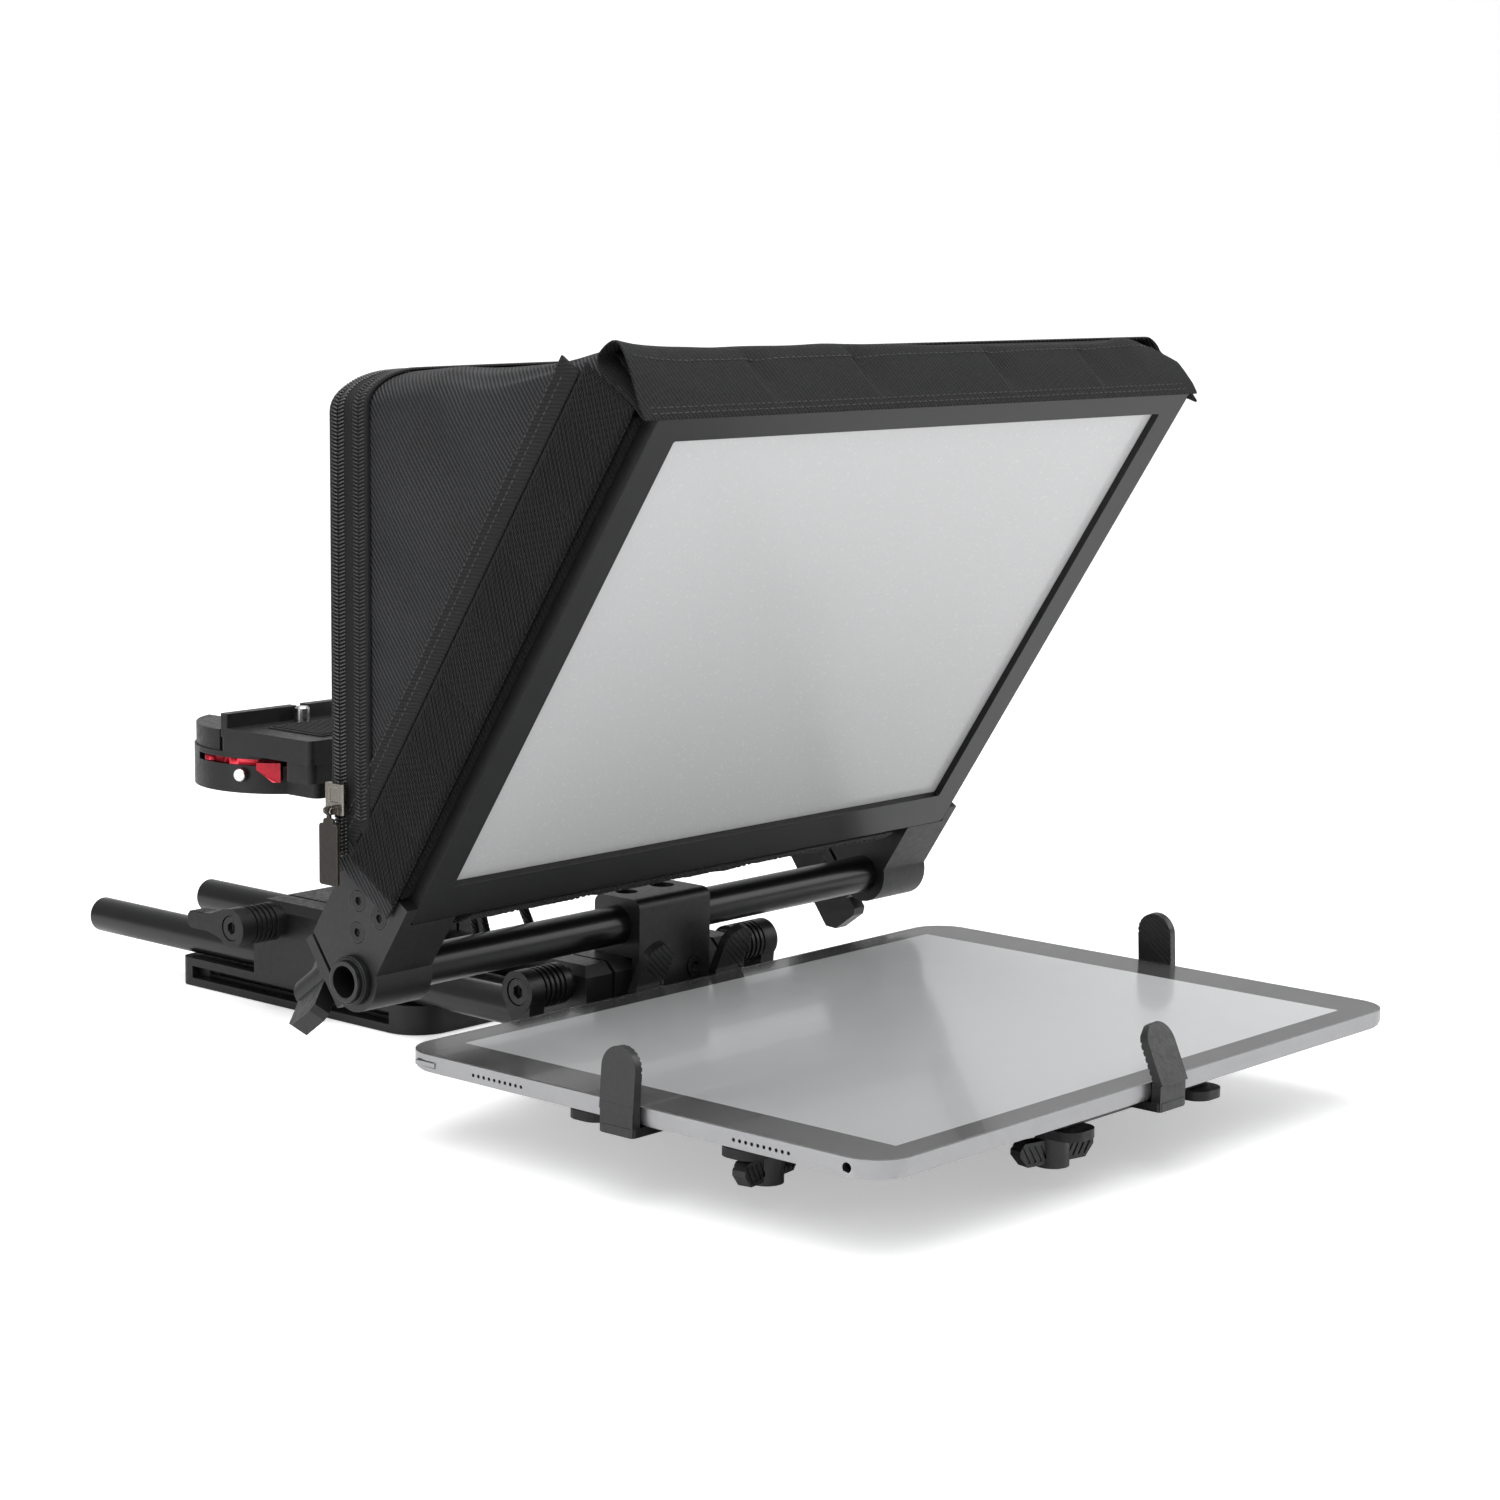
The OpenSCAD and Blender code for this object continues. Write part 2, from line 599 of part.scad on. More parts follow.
// ---------- clamp levers ----------
front_turn = -100;          // turn of the front levers about their screws
// outline of the arm: y, z
lever_arm = [
  [0, -7.6], [6, -5.6], [14, -3.4], [26, -3.2], [27.5, -1.6], [27.5, 2.2],
  [26, 3.8], [13, 4.4], [5, 7.2], [0, 7.9]];

// on the x axis, from the clamp face outwards (+x), arm along +y
module lever() difference() {
  union() {
    cyl_x(6.6, 0.1, 3);
    cyl_x(8, 3, 6.2);
    cyl_x(6.9, 6, 17.8);
    // four rings round the hub
    for (i = [0 : 3]) cyl_x(8, 7.4 + i * 2.6, 8.8 + i * 2.6);
    cyl_x(8, 17.6, 25);
    extrude_x([16.8, 24.6]) polygon(lever_arm);
  }
  cyl_x(3.2, -1, 26);
  cyl_x(5.3, 20.4, 26);
  // grooves across the upper edge of the arm
  for (i = [0 : 3]) translate([15, 18 + i * 2, 3.45]) cube([12, 0.9, 1.6]);
}
module lever_screws(y) color("#8a8a8a") both_sides() at_lever(y) difference() {
  union() {
    cyl_x(3.1, -16, 21);
    cyl_x(5.1, 20.6, 24.6);
  }
  translate([22, 0, 0]) rotate([0, 90, 0]) cylinder(r = 2.6, h = 4, $fn = 6);
}
module right_lever(y, turn = 0) color("#2c2c2c") at_lever(y) rotate([turn, 0, 0]) lever();
module rear_left_lever() mirror([1, 0, 0]) right_lever(rear_lever_y);
module rear_right_lever() right_lever(rear_lever_y);
module front_left_lever() mirror([1, 0, 0]) right_lever(front_lever_y, front_turn);
module front_right_lever() right_lever(front_lever_y, front_turn);
module rear_lever_screws() lever_screws(rear_lever_y);
module front_lever_screws() lever_screws(front_lever_y);

// ---------- cradle, from the tablet's centre ----------
rail_y = 35;                // rails that run across
rail_x = 38;                // rails that run front to back
rail_half = 8;              // half width of a rail
slot_half = 2.6;
side_clip_x = 121;          // side clip screws
end_clip_y = 91.4;          // front and rear clip screws
finger_r = 7.75;
finger_t = 3.4;

module at_cradle() translate([0, cradle_y, 0]) children();
module cradle_plate() color("#2a2a2a") at_cradle() difference() {
  translate([0, 0, 21]) linear_extrude(3.4) {
    for (s = [-1, 1]) {
      rounded(span(138), [s * rail_y - rail_half, s * rail_y + rail_half], 6);
      rounded([s * rail_x - rail_half, s * rail_x + rail_half], [-106, 104], 6);
    }
    rounded(span(44), span(12), 3);
    square([16, 80], center = true);
  }
  // a slot near each end of each rail
  for (s = [-1, 1], m = [0, 1]) {
    mirror([m, 0, 0]) translate([0, s * rail_y, 0])
      rounded_block([84, 133], span(slot_half), [20, 25], 2.55);
    mirror([0, m, 0]) translate([s * rail_x, 0, 0])
      rounded_block(span(slot_half), [62, 99], [20, 25], 2.55);
  }
  cyl_z(3.05, 20, 25);
}
module cradle_pads() color("#202020") at_cradle()
  at_each(grid([-76, 76], span(rail_y))) cyl_z(6.5, 24.45, tab_z0 - 0.05);
module cradle_knob() color("#222222") at_cradle() {
  cyl_z(3, 5, 23.6);
  cyl_z(6, 9, 12.5);
  lobed_grip(radius = 11, z0 = 2, z1 = 10, lobe_at = 10.4, lobe_r = 2.6,
             notch_at = 13, notch_r = 2.4);
}
// inside face at y = 0 towards -y, leaning inwards
module finger(tilt, height) rotate([tilt, 0, 0]) difference() {
  extrude_y([0, finger_t]) {
    translate([-finger_r, -3]) square([2 * finger_r, height - finger_r + 3]);
    translate([0, height - finger_r]) circle(finger_r);
  }
  // slanted grooves in the inside face
  for (i = [0 : 12]) translate([0, 0, 5 + i * 2.3]) rotate([0, 38, 0])
    translate([-20, -0.5, -0.35]) cube([40, 0.9, 0.7]);
}
// clip in its own frame: fingers at the outer end on +y, cross bar behind them
module clip(reach, bar_hx, screw_x, tilt, finger_xs = [0]) color("#262626") {
  difference() {
    union() {
      rounded_block(span(bar_hx), span(rail_half), [24.6, 27.4], 4);
      for (x = finger_xs) translate([x, 0, 0]) {
        rounded_block(span(finger_r), [-4, reach + 4.1], [26.2, 29.3], 1.5);
        translate([0, reach + 0.4, 0]) block(span(7.5), [-0.2, 3.5], [26.4, tab_z1 + 0.4]);
        translate([0, reach + 0.4, tab_z1 + 0.6]) finger(tilt, 19);
      }
    }
    translate([screw_x, 0, 0]) cyl_z(2.45, 20, 30);
  }
  // pin that runs in the slot of the other rail
  translate([-screw_x, 0, 0]) cyl_z(2.4, 21.5, 25.5);
}
module side_clip() clip(tab_w / 2 - side_clip_x, 43, -rail_y, 4);
module end_clip(finger_xs) clip(tab_l / 2 - end_clip_y, 46, rail_x, 24, finger_xs);
module left_clip() at_cradle() translate([-side_clip_x, 0, 0]) rotate([0, 0, 90]) side_clip();
module right_clip() at_cradle() translate([side_clip_x, 0, 0]) rotate([0, 0, -90]) side_clip();
module front_clip()
  at_cradle() translate([0, -end_clip_y, 0]) rotate([0, 0, 180]) end_clip([0]);
module rear_clip() at_cradle() translate([0, end_clip_y, 0]) end_clip([-22.5, 22.5]);
module clip_knob(x, y, turn) color("#202020") at_cradle() translate([x, y, 0]) {
  cyl_z(2.4, 15, 28.4);
  translate([0, 0, 20.9]) rotate([0, 0, turn])
    wing(width = 33, hub_r = 6, drop = 1.2, depth = 8.4, thick = 5.2, hub_l = 11);
}
module left_clip_knob() clip_knob(-side_clip_x, -rail_y, 8);
module right_clip_knob() clip_knob(side_clip_x, rail_y, 8);
module front_clip_knob() clip_knob(-rail_x, -end_clip_y, -12);
module rear_clip_knob() clip_knob(rail_x, end_clip_y, -12);

// ---------- tablet ----------
tab_corner_r = 15;
button_y = 96;

module tab_slab(inset, z0, z1) at_cradle()
  rounded_block(span(tab_w / 2 - inset), span(tab_l / 2 - inset), [z0, z1],
                tab_corner_r - inset);
module at_left_edge(y) at_cradle() translate([-tab_w / 2, y, tab_z0 + 3.6]) children();
module tablet_shell() color("silver") difference() {
  // stepped in towards the underside
  union() {
    tab_slab(0, tab_z0 + 2.2, tab_z1);
    tab_slab(0.5, tab_z0 + 1, tab_z0 + 2.3);
    tab_slab(1.4, tab_z0 + 0.3, tab_z0 + 1.1);
    tab_slab(2.4, tab_z0, tab_z0 + 0.4);
  }
  tab_slab(1.2, tab_z1 - 0.9, tab_z1 + 1);
  tab_slab(3, tab_z0 + 1.4, tab_z1);
  // audio socket, speaker rows and power button slot
  at_left_edge(-button_y) cyl_x(1.75, -1, 3.5);
  for (s = [-1, 1], i = [0 : 9]) at_left_edge(s * (72 - i * 2.6)) cyl_x(0.65, -1, 3.5);
  at_left_edge(button_y) block([-1, 3.5], span(5.1), span(1.1));
}
module tablet_glass() color("#8f9194") tab_slab(1.25, tab_z1 - 0.85, tab_z1 - 0.02);
module tablet_battery() color("#222222") at_cradle()
  for (x = [-72, 10, 92])
    rounded_block([x - 38, x + 38], span(86), [tab_z0 + 1.5, tab_z1 - 1.2], 2);
module tablet_board() color("darkgreen") at_cradle() difference() {
  rounded_block(span(146), [90, 104], [tab_z0 + 1.5, tab_z0 + 2.6], 1);
  at_each(grid([-140, 140], [97])) cyl_z(1, tab_z0, tab_z0 + 4);
}
module tablet_button() color("silver") at_left_edge(button_y)
  block([-0.45, 1.2], span(4.9), span(0.95));

base_plate();
base_clamp();
base_clamp_screws();
riser_lower();
riser_upper();
riser_knob();
quick_base();
quick_lever();
quick_pin();
quick_plate();
quick_pad();
camera_screw();
left_rod();
right_rod();
front_clamp();
centre_block();
centre_block_screws();
cradle_arm();
cradle_arm_screws();
cross_tube();
tube_collars();
glass_frame();
beamsplitter_glass();
glass_retainer();
left_bracket();
right_bracket();
bracket_screws();
left_wing_knob();
right_wing_knob();
velcro_strips();
hood_shell();
hood_top_flap();
hood_bottom_flap();
zipper_tape();
zipper_slider();
zipper_pull();
draw_cords();
rear_left_lever();
rear_right_lever();
front_left_lever();
front_right_lever();
rear_lever_screws();
front_lever_screws();
cradle_plate();
cradle_pads();
cradle_knob();
left_clip();
right_clip();
front_clip();
rear_clip();
left_clip_knob();
right_clip_knob();
front_clip_knob();
rear_clip_knob();
tablet_shell();
tablet_glass();
tablet_battery();
tablet_board();
tablet_button();
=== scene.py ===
# A camera teleprompter: a tablet under a leaning half-silvered glass, a fabric hood behind
# the glass with a round lens opening, and the rods, brackets and clamps that carry them.
# X runs across it with the left side at -X, Y runs from the front (-Y) to the rear (+Y),
# and Z is up. Sizes are in millimetres unless noted; y and z of the soft parts are measured
# from the centre of the cross tube.
import json
import math
import random
from itertools import accumulate
import bmesh
import bpy
import numpy as np
from mathutils import Matrix, Vector
from mathutils.bvhtree import BVHTree


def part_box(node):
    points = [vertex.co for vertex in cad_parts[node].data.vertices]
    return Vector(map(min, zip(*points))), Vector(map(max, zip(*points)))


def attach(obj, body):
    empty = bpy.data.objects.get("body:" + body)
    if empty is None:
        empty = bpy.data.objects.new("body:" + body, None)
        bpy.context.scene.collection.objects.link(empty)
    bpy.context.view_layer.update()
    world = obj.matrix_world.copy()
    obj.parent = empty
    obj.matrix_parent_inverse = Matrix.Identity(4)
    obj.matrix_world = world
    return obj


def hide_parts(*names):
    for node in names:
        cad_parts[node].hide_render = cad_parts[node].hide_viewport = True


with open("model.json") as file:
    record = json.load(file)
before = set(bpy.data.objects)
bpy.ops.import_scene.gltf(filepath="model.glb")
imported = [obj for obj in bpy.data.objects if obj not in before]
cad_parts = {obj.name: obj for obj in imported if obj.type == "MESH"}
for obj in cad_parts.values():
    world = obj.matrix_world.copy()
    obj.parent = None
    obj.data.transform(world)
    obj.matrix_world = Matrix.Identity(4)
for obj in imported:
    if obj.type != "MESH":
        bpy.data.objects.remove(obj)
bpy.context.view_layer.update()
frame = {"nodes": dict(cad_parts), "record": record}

scene = bpy.context.scene
nodes = frame["nodes"]
MM = 0.001

# ---------- coordinates ----------
tube_lo, tube_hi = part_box("cross_tube")
TUBE_Y = (tube_lo.y + tube_hi.y) * 500
TUBE_Z = (tube_lo.z + tube_hi.z) * 500
GLASS_LEAN = math.radians(90 - 57.2)  # from upright, top towards the front
COS_LEAN, SIN_LEAN = math.cos(GLASS_LEAN), math.sin(GLASS_LEAN)
AHEAD = Vector((0, -COS_LEAN, -SIN_LEAN))  # square to the glass, forward and down
REARWARD = Vector((0, 1, 0))


def tube_point(x, y, z):
    """Point in metres from millimetres measured off the cross tube."""
    return Vector((x * MM, (y + TUBE_Y) * MM, (z + TUBE_Z) * MM))


def sheet_yz(ahead, rise):
    """y and z of a place `ahead` of the glass plane and `rise` up along it."""
    return -ahead * COS_LEAN - rise * SIN_LEAN, -ahead * SIN_LEAN + rise * COS_LEAN


def glass_point(x, ahead, rise):
    return tube_point(x, *sheet_yz(ahead, rise))


def stations(start, end, count):
    """Evenly spaced values from start to end, count steps apart."""
    return [start + (end - start) * i / count for i in range(count + 1)]


# ---------- shader graphs ----------
class Graph:
    """Adds nodes to one shader tree; most methods return the new node's output."""

    def __init__(self, tree):
        self.tree = tree

    def add(self, kind, inputs=None, **properties):
        node = self.tree.nodes.new("ShaderNode" + kind)
        for key, value in properties.items():
            setattr(node, key, value)
        self.fill(node, inputs or {})
        return node

    def fill(self, node, inputs):
        """Links outputs to the named inputs, or sets constants on them."""
        for key, value in inputs.items():
            socket = node.inputs[key]
            if isinstance(value, bpy.types.NodeSocket):
                self.tree.links.new(value, socket)
            elif socket.type == "RGBA":
                socket.default_value = (*value, 1.0)
            else:
                socket.default_value = value

    def calc(self, operation, *values, clamp=False):
        inputs = dict(enumerate(values))
        return self.add("Math", inputs, operation=operation, use_clamp=clamp).outputs[0]

    def dot(self, first, second):
        node = self.add("VectorMath", {0: first, 1: second}, operation="DOT_PRODUCT")
        return node.outputs["Value"]

    def mix(self, share, first, second):
        # sockets 6 and 7 are the colour pair, output 2 the mixed colour
        return self.add("Mix", {0: share, 6: first, 7: second}, data_type="RGBA").outputs[2]

    def ramp(self, value, start, end, low=0.0, high=1.0):
        """Maps start..end onto low..high, clamped."""
        return self.add("MapRange", {
            "From Min": start, "From Max": end, "To Min": low, "To Max": high, "Value": value,
        }, clamp=True).outputs[0]

    def spread(self, noise, low=0.0, high=1.0):
        """Stretches the middle of a noise over low..high."""
        return self.ramp(noise, 0.3, 0.7, low, high)

    def wave(self, distance, pitch):
        return self.calc("SINE", self.calc("MULTIPLY", distance, 2 * math.pi / pitch))

    def bump(self, height, strength, depth):
        inputs = {"Strength": strength, "Distance": depth, "Height": height}
        return self.add("Bump", inputs).outputs[0]


class Surface(Graph):
    """A new material with one Principled shader, textured in object coordinates."""

    def __init__(self, name):
        self.material = bpy.data.materials.new(name)
        self.material.use_nodes = True
        super().__init__(self.material.node_tree)
        self.tree.nodes.clear()
        output = self.add("OutputMaterial")
        self.shader = self.add("BsdfPrincipled")
        self.fill(output, {0: self.shader.outputs[0]})
        self.coords = self.add("TexCoord").outputs["Object"]

    def noise(self, scale, detail=3.0, rough=0.55):
        return self.add("TexNoise", {
            "Scale": scale, "Detail": detail, "Roughness": rough, "Vector": self.coords,
        }).outputs["Fac"]

    def distance(self, *direction):
        """Distance along a direction, in millimetres."""
        return self.dot(self.coords, tuple(part * 1000 for part in direction))

    def axes(self):
        return self.add("SeparateXYZ", {0: self.coords}).outputs

    def finish(self, inputs):
        self.fill(self.shader, inputs)
        return self.material


def scaled(colour, factor):
    return tuple(min(part * factor, 1.0) for part in colour)


def hard(name, base, rough, grain, metallic=0.0, edge=None, colour_vary=0.14,
         rough_vary=0.1, coat=0.0, specular=0.5, pits=False):
    """Anodised, painted or moulded surface: cloudy colour, uneven gloss, grain, rubbed edges.

    grain is (noise scale, bump distance in metres, bump strength);
    edge is (amount of wear, colour of the worn edge).
    """
    surf = Surface(name)
    grain_scale, grain_depth, grain_strength = grain
    large = surf.noise(45.0, detail=4.0)
    medium = surf.noise(420.0, detail=4.0, rough=0.6)
    colour = surf.mix(surf.spread(large), scaled(base, 1 - colour_vary),
                      scaled(base, 1 + colour_vary))
    gloss = surf.spread(medium, rough - rough_vary, rough + rough_vary)
    roughness = surf.calc("ADD", gloss, 0.0, clamp=True)
    height = surf.noise(grain_scale, detail=2.0)
    if pits:
        cells = surf.add("TexVoronoi", {"Scale": grain_scale * 0.36, "Vector": surf.coords})
        height = surf.calc("ADD", surf.calc("MULTIPLY", cells.outputs["Distance"], 0.8),
                           surf.calc("MULTIPLY", height, 0.5))
    normal = surf.bump(height, grain_strength, grain_depth)
    if edge:
        amount, edge_colour = edge
        # a rounded normal leaves the true one only near an edge
        rounded = surf.add("Bevel", {"Radius": 0.0007}, samples=3).outputs[0]
        flat = surf.add("NewGeometry").outputs["Normal"]
        worn = surf.calc("SUBTRACT", 1.0, surf.dot(rounded, flat), clamp=True)
        patchy = surf.ramp(medium, 0.35, 0.6, low=1.0, high=6.0)
        worn = surf.calc("MULTIPLY", worn, patchy, clamp=True)
        worn = surf.calc("MULTIPLY", worn, amount)
        colour = surf.mix(worn, colour, edge_colour)
        polish = surf.calc("MULTIPLY", worn, 0.15)
        roughness = surf.calc("SUBTRACT", roughness, polish, clamp=True)
    return surf.finish({
        "Base Color": colour, "Roughness": roughness, "Normal": normal, "Metallic": metallic,
        "Specular IOR Level": specular, "Coat Weight": coat, "Coat Roughness": 0.15,
    })


def fabric(name, base, rough, pitch, tilt, sheen, depth=0.00022, cross=0.35,
           groove_shade=0.45, span=(-0.8, 1.6)):
    """Twill: diagonal ribs broken by a finer cross thread, with a soft sheen, cloudy dye and
    painted shade in the grooves.

    pitch is the rib spacing in mm, tilt the direction across the ribs, depth the bump
    distance in metres, cross the strength of the cross thread, groove_shade the colour of the
    painted shade low in the weave as a share of the base, and span the weave heights over
    which the painted shade lifts to full colour.
    """
    surf = Surface(name)
    wobble = surf.noise(60.0, detail=2.0)
    tilt_x, tilt_y, tilt_z = (part / math.sqrt(2) for part in tilt)
    across = surf.calc("ADD", surf.distance(tilt_x, tilt_y, tilt_z),
                       surf.calc("MULTIPLY", wobble, 0.8))
    rib = surf.wave(across, pitch)
    thread = surf.wave(surf.distance(tilt_x, -tilt_y, tilt_z), pitch * 0.62)
    height = surf.calc("ADD", rib, surf.calc("MULTIPLY", thread, cross))
    fuzz = surf.noise(2600.0, detail=3.0, rough=0.7)
    height = surf.calc("ADD", height, surf.calc("MULTIPLY", fuzz, 0.9))
    clouds = surf.noise(25.0, detail=5.0, rough=0.6)
    dye = surf.mix(surf.spread(clouds), scaled(base, 0.82), scaled(base, 1.2))
    return surf.finish({
        # painted shade: the colour darkens low in the weave, in the grooves between the ribs
        "Base Color": surf.mix(surf.ramp(height, *span), scaled(base, groove_shade), dye),
        "Roughness": surf.spread(fuzz, rough - 0.08, min(rough + 0.1, 1.0)),
        "Normal": surf.bump(height, 0.55, depth),
        "Sheen Weight": sheen,
        "Sheen Roughness": 0.45,
        "Sheen Tint": (0.75, 0.76, 0.8),
        "Specular IOR Level": 0.26,
    })


def frame_material():
    """Black front bezel, satin along the outer side faces."""
    side_x = 0.14972  # metres from the middle where the side faces begin
    surf = Surface("frame_bezel_and_satin_sides")
    side = surf.calc("GREATER_THAN", surf.calc("ABSOLUTE", surf.axes()[0]), side_x)
    fine = surf.noise(4500, detail=2.0)
    clouds = surf.noise(50, detail=4.0)
    bezel = surf.mix(surf.spread(clouds), (0.0060, 0.0060, 0.0064), (0.0085, 0.0085, 0.0090))
    satin = surf.mix(surf.spread(surf.noise(260, detail=5.0)),
                     (0.0070, 0.0070, 0.0072), (0.0110, 0.0110, 0.0112))
    return surf.finish({
        "Base Color": surf.mix(side, bezel, satin),
        "Roughness": surf.ramp(side, 0, 1, low=0.30, high=0.45),
        "Specular IOR Level": 0.30,
        "Normal": surf.bump(fine, 0.25, 0.00002),
        "Coat Weight": 0.05,
    })


def glass_material():
    """Half-silvered sheet: grey with a weak gloss; a painted reflection makes it paler towards
    its top edge, and a painted glow grows the same way.
    """
    pale_from, pale_to = 45, 242  # up along the glass
    surf = Surface("beamsplitter_coating")
    rise = surf.distance(0.0, -SIN_LEAN, COS_LEAN)
    tube_rise = -SIN_LEAN * TUBE_Y + COS_LEAN * TUBE_Z
    # painted reflection: the colour grows paler up along the glass
    pale = surf.ramp(rise, tube_rise + pale_from, tube_rise + pale_to)
    clouds = surf.spread(surf.noise(9.0), -0.05, 0.05)
    pale = surf.calc("ADD", pale, clouds, clamp=True)
    colour = surf.mix(pale, (0.50, 0.502, 0.504), (0.55, 0.552, 0.555))
    dust = surf.noise(700.0, detail=4.0, rough=0.7)
    return surf.finish({
        "Base Color": colour,
        "Roughness": surf.ramp(dust, 0.35, 0.7, low=0.20, high=0.30),
        "Specular IOR Level": 0.35,
        # painted glow: the glass gives off light of its own, brighter towards the top
        "Emission Strength": 0.12,
        "Emission Color": surf.mix(pale, (0.5, 0.5, 0.5), (0.9, 0.9, 0.9)),
    })


def tablet_material():
    """Cover glass: a dark border round a grey screen, with a painted reflection that brightens
    it to the right and rear.
    """
    border_x, border_y = 0.0202, 0.0106  # metres
    fade_x, fade_y = 153, 110  # the fade's reach from the screen's middle
    toward_x, toward_y = 0.8, 0.6  # direction of the fade
    lo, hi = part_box("tablet_glass")
    middle_x, middle_y = (lo.x + hi.x) / 2, (lo.y + hi.y) / 2
    half_x = (hi.x - lo.x) / 2 - border_x
    half_y = (hi.y - lo.y) / 2 - border_y
    surf = Surface("tablet_cover_glass")
    axes = surf.axes()
    from_x = surf.calc("ABSOLUTE", surf.calc("SUBTRACT", axes[0], middle_x))
    from_y = surf.calc("ABSOLUTE", surf.calc("SUBTRACT", axes[1], middle_y))
    inside = surf.calc("MULTIPLY", surf.calc("LESS_THAN", from_x, half_x),
                       surf.calc("LESS_THAN", from_y, half_y))
    # painted reflection: the screen's colour brightens towards the right and rear
    bright = surf.ramp(surf.distance(toward_x, toward_y, 0.0),
                       -toward_x * fade_x + toward_y * (middle_y * 1000 - fade_y),
                       toward_x * fade_x + toward_y * (middle_y * 1000 + fade_y))
    screen = surf.mix(bright, (0.30, 0.302, 0.305), (0.60, 0.605, 0.61))
    specks = surf.noise(900)
    border = surf.mix(surf.spread(specks), (0.058, 0.0575, 0.057), (0.067, 0.0665, 0.066))
    return surf.finish({
        "Base Color": surf.mix(inside, border, screen),
        "Roughness": surf.spread(surf.noise(30), 0.14, 0.22),
        "Specular IOR Level": 0.35,
        "Coat Weight": 0.15,
    })


MATERIALS = {
    "anodised": hard(
        "satin_black_anodising", (0.0080, 0.0080, 0.0086), rough=0.40, specular=0.34,
        grain=(5200, 0.00002, 0.35), edge=(0.22, (0.05, 0.05, 0.052))),
    "rod": hard(
        "rod_anodising", (0.0070, 0.0070, 0.0076), rough=0.30, grain=(4200, 0.00001, 0.2),
        coat=0.12, specular=0.40, rough_vary=0.025, colour_vary=0.05),
    "bracket": hard(
        "leathery_powder_coat", (0.0075, 0.0075, 0.0078), rough=0.44, pits=True,
        grain=(2600, 0.00008, 0.45), edge=(0.25, (0.06, 0.06, 0.06)), rough_vary=0.05),
    "knob": hard(
        "moulded_black", (0.0078, 0.0078, 0.0080), rough=0.38,
        grain=(2600, 0.00006, 0.35), edge=(0.2, (0.04, 0.04, 0.04))),
    "clip": hard(
        "grained_black_plastic", (0.0078, 0.0078, 0.0080), rough=0.38,
        grain=(2100, 0.00010, 0.5), pits=True, coat=0.1),
    "rubber": hard(
        "rubber_black", (0.014, 0.014, 0.014), rough=0.72, grain=(3000, 0.00008, 0.5),
        specular=0.3),
    "steel": hard(
        "plain_steel", (0.56, 0.56, 0.57), rough=0.24, metallic=1.0,
        grain=(1500, 0.00002, 0.2), rough_vary=0.08, colour_vary=0.06),
    "black_steel": hard(
        "black_oxide", (0.016, 0.016, 0.017), rough=0.34, metallic=0.4,
        grain=(3000, 0.00002, 0.3), edge=(0.3, (0.14, 0.14, 0.14))),
    "red": hard(
        "red_anodising", (0.52, 0.010, 0.028), rough=0.30, metallic=0.55,
        grain=(3500, 0.00002, 0.25), edge=(0.2, (0.8, 0.15, 0.2)), coat=0.2),
    "gunmetal": hard(
        "gunmetal_zip", (0.20, 0.185, 0.165), rough=0.26, metallic=1.0,
        grain=(1800, 0.00003, 0.4), edge=(0.4, (0.65, 0.6, 0.52))),
    "pull": hard(
        "brown_black_pull", (0.020, 0.016, 0.013), rough=0.48, metallic=0.4, pits=True,
        grain=(1500, 0.00014, 0.8), edge=(0.3, (0.3, 0.26, 0.2))),
    "aluminium": hard(
        "blasted_silver_aluminium", (0.36, 0.36, 0.365), rough=0.34, metallic=1.0,
        grain=(6000, 0.00001, 0.3), colour_vary=0.03, rough_vary=0.05),
    "battery": hard(
        "battery_wrap", (0.02, 0.02, 0.022), rough=0.5, grain=(900, 0.0001, 0.2)),
    "circuit": hard(
        "solder_mask", (0.012, 0.10, 0.045), rough=0.35, grain=(700, 0.0001, 0.3), coat=0.4),
    "hood": fabric(
        "nylon_twill", (0.0330, 0.0333, 0.0360), rough=0.58, pitch=1.75,
        tilt=(1.0, -1.25, 0.95), sheen=0.02, depth=0.0007, cross=0.30, groove_shade=0.05,
        span=(-0.1, 1.7)),
    "flap": fabric(
        "nylon_twill_soft", (0.0098, 0.0098, 0.0104), rough=0.60, pitch=1.30,
        tilt=(1.0, -0.6, 0.8), sheen=0.03, depth=0.0005, cross=0.9, groove_shade=0.06,
        span=(-0.3, 1.9)),
    "lower": fabric(
        "nylon_lining_reddish", (0.0150, 0.0110, 0.0115), rough=0.62, pitch=1.0,
        tilt=(1.0, -0.5, 0.9), sheen=0.10),
    "binding": fabric(
        "binding_tape", (0.0095, 0.0095, 0.0102), rough=0.66, pitch=0.9,
        tilt=(0.9, 0.0, 1.0), sheen=0.03, depth=0.0004, groove_shade=0.15),
    "hook_tape": fabric(
        "hook_and_loop_tape", (0.0056, 0.0056, 0.0058), rough=0.95, pitch=1.2,
        tilt=(0.8, -1.0, 0.3), sheen=0.03, depth=0.0008, cross=0.8, groove_shade=0.05),
    "zip_tape": fabric(
        "zip_tape", (0.0050, 0.0050, 0.0053), rough=0.85, pitch=0.6,
        tilt=(0.5, -1.0, 1.0), sheen=0.06),
    "cord": fabric(
        "braided_cord", (0.0090, 0.0090, 0.0095), rough=0.7, pitch=1.3,
        tilt=(1.0, -1.0, 1.0), sheen=0.15, depth=0.0006, groove_shade=0.2),
    "thread": hard(
        "sewing_thread", (0.030, 0.030, 0.032), rough=0.6, grain=(9000, 0.00004, 0.5)),
    "coil": hard(
        "zip_coil", (0.0150, 0.0147, 0.0140), rough=0.28, grain=(5000, 0.00002, 0.3),
        coat=0.3, specular=0.55),
    "dull_coil": hard(
        "zip_coil_dull", (0.0150, 0.0147, 0.0135), rough=0.42, grain=(5000, 0.00002, 0.3),
        specular=0.5),
    "frame": frame_material(),
    "glass": glass_material(),
    "tablet_glass": tablet_material(),
}

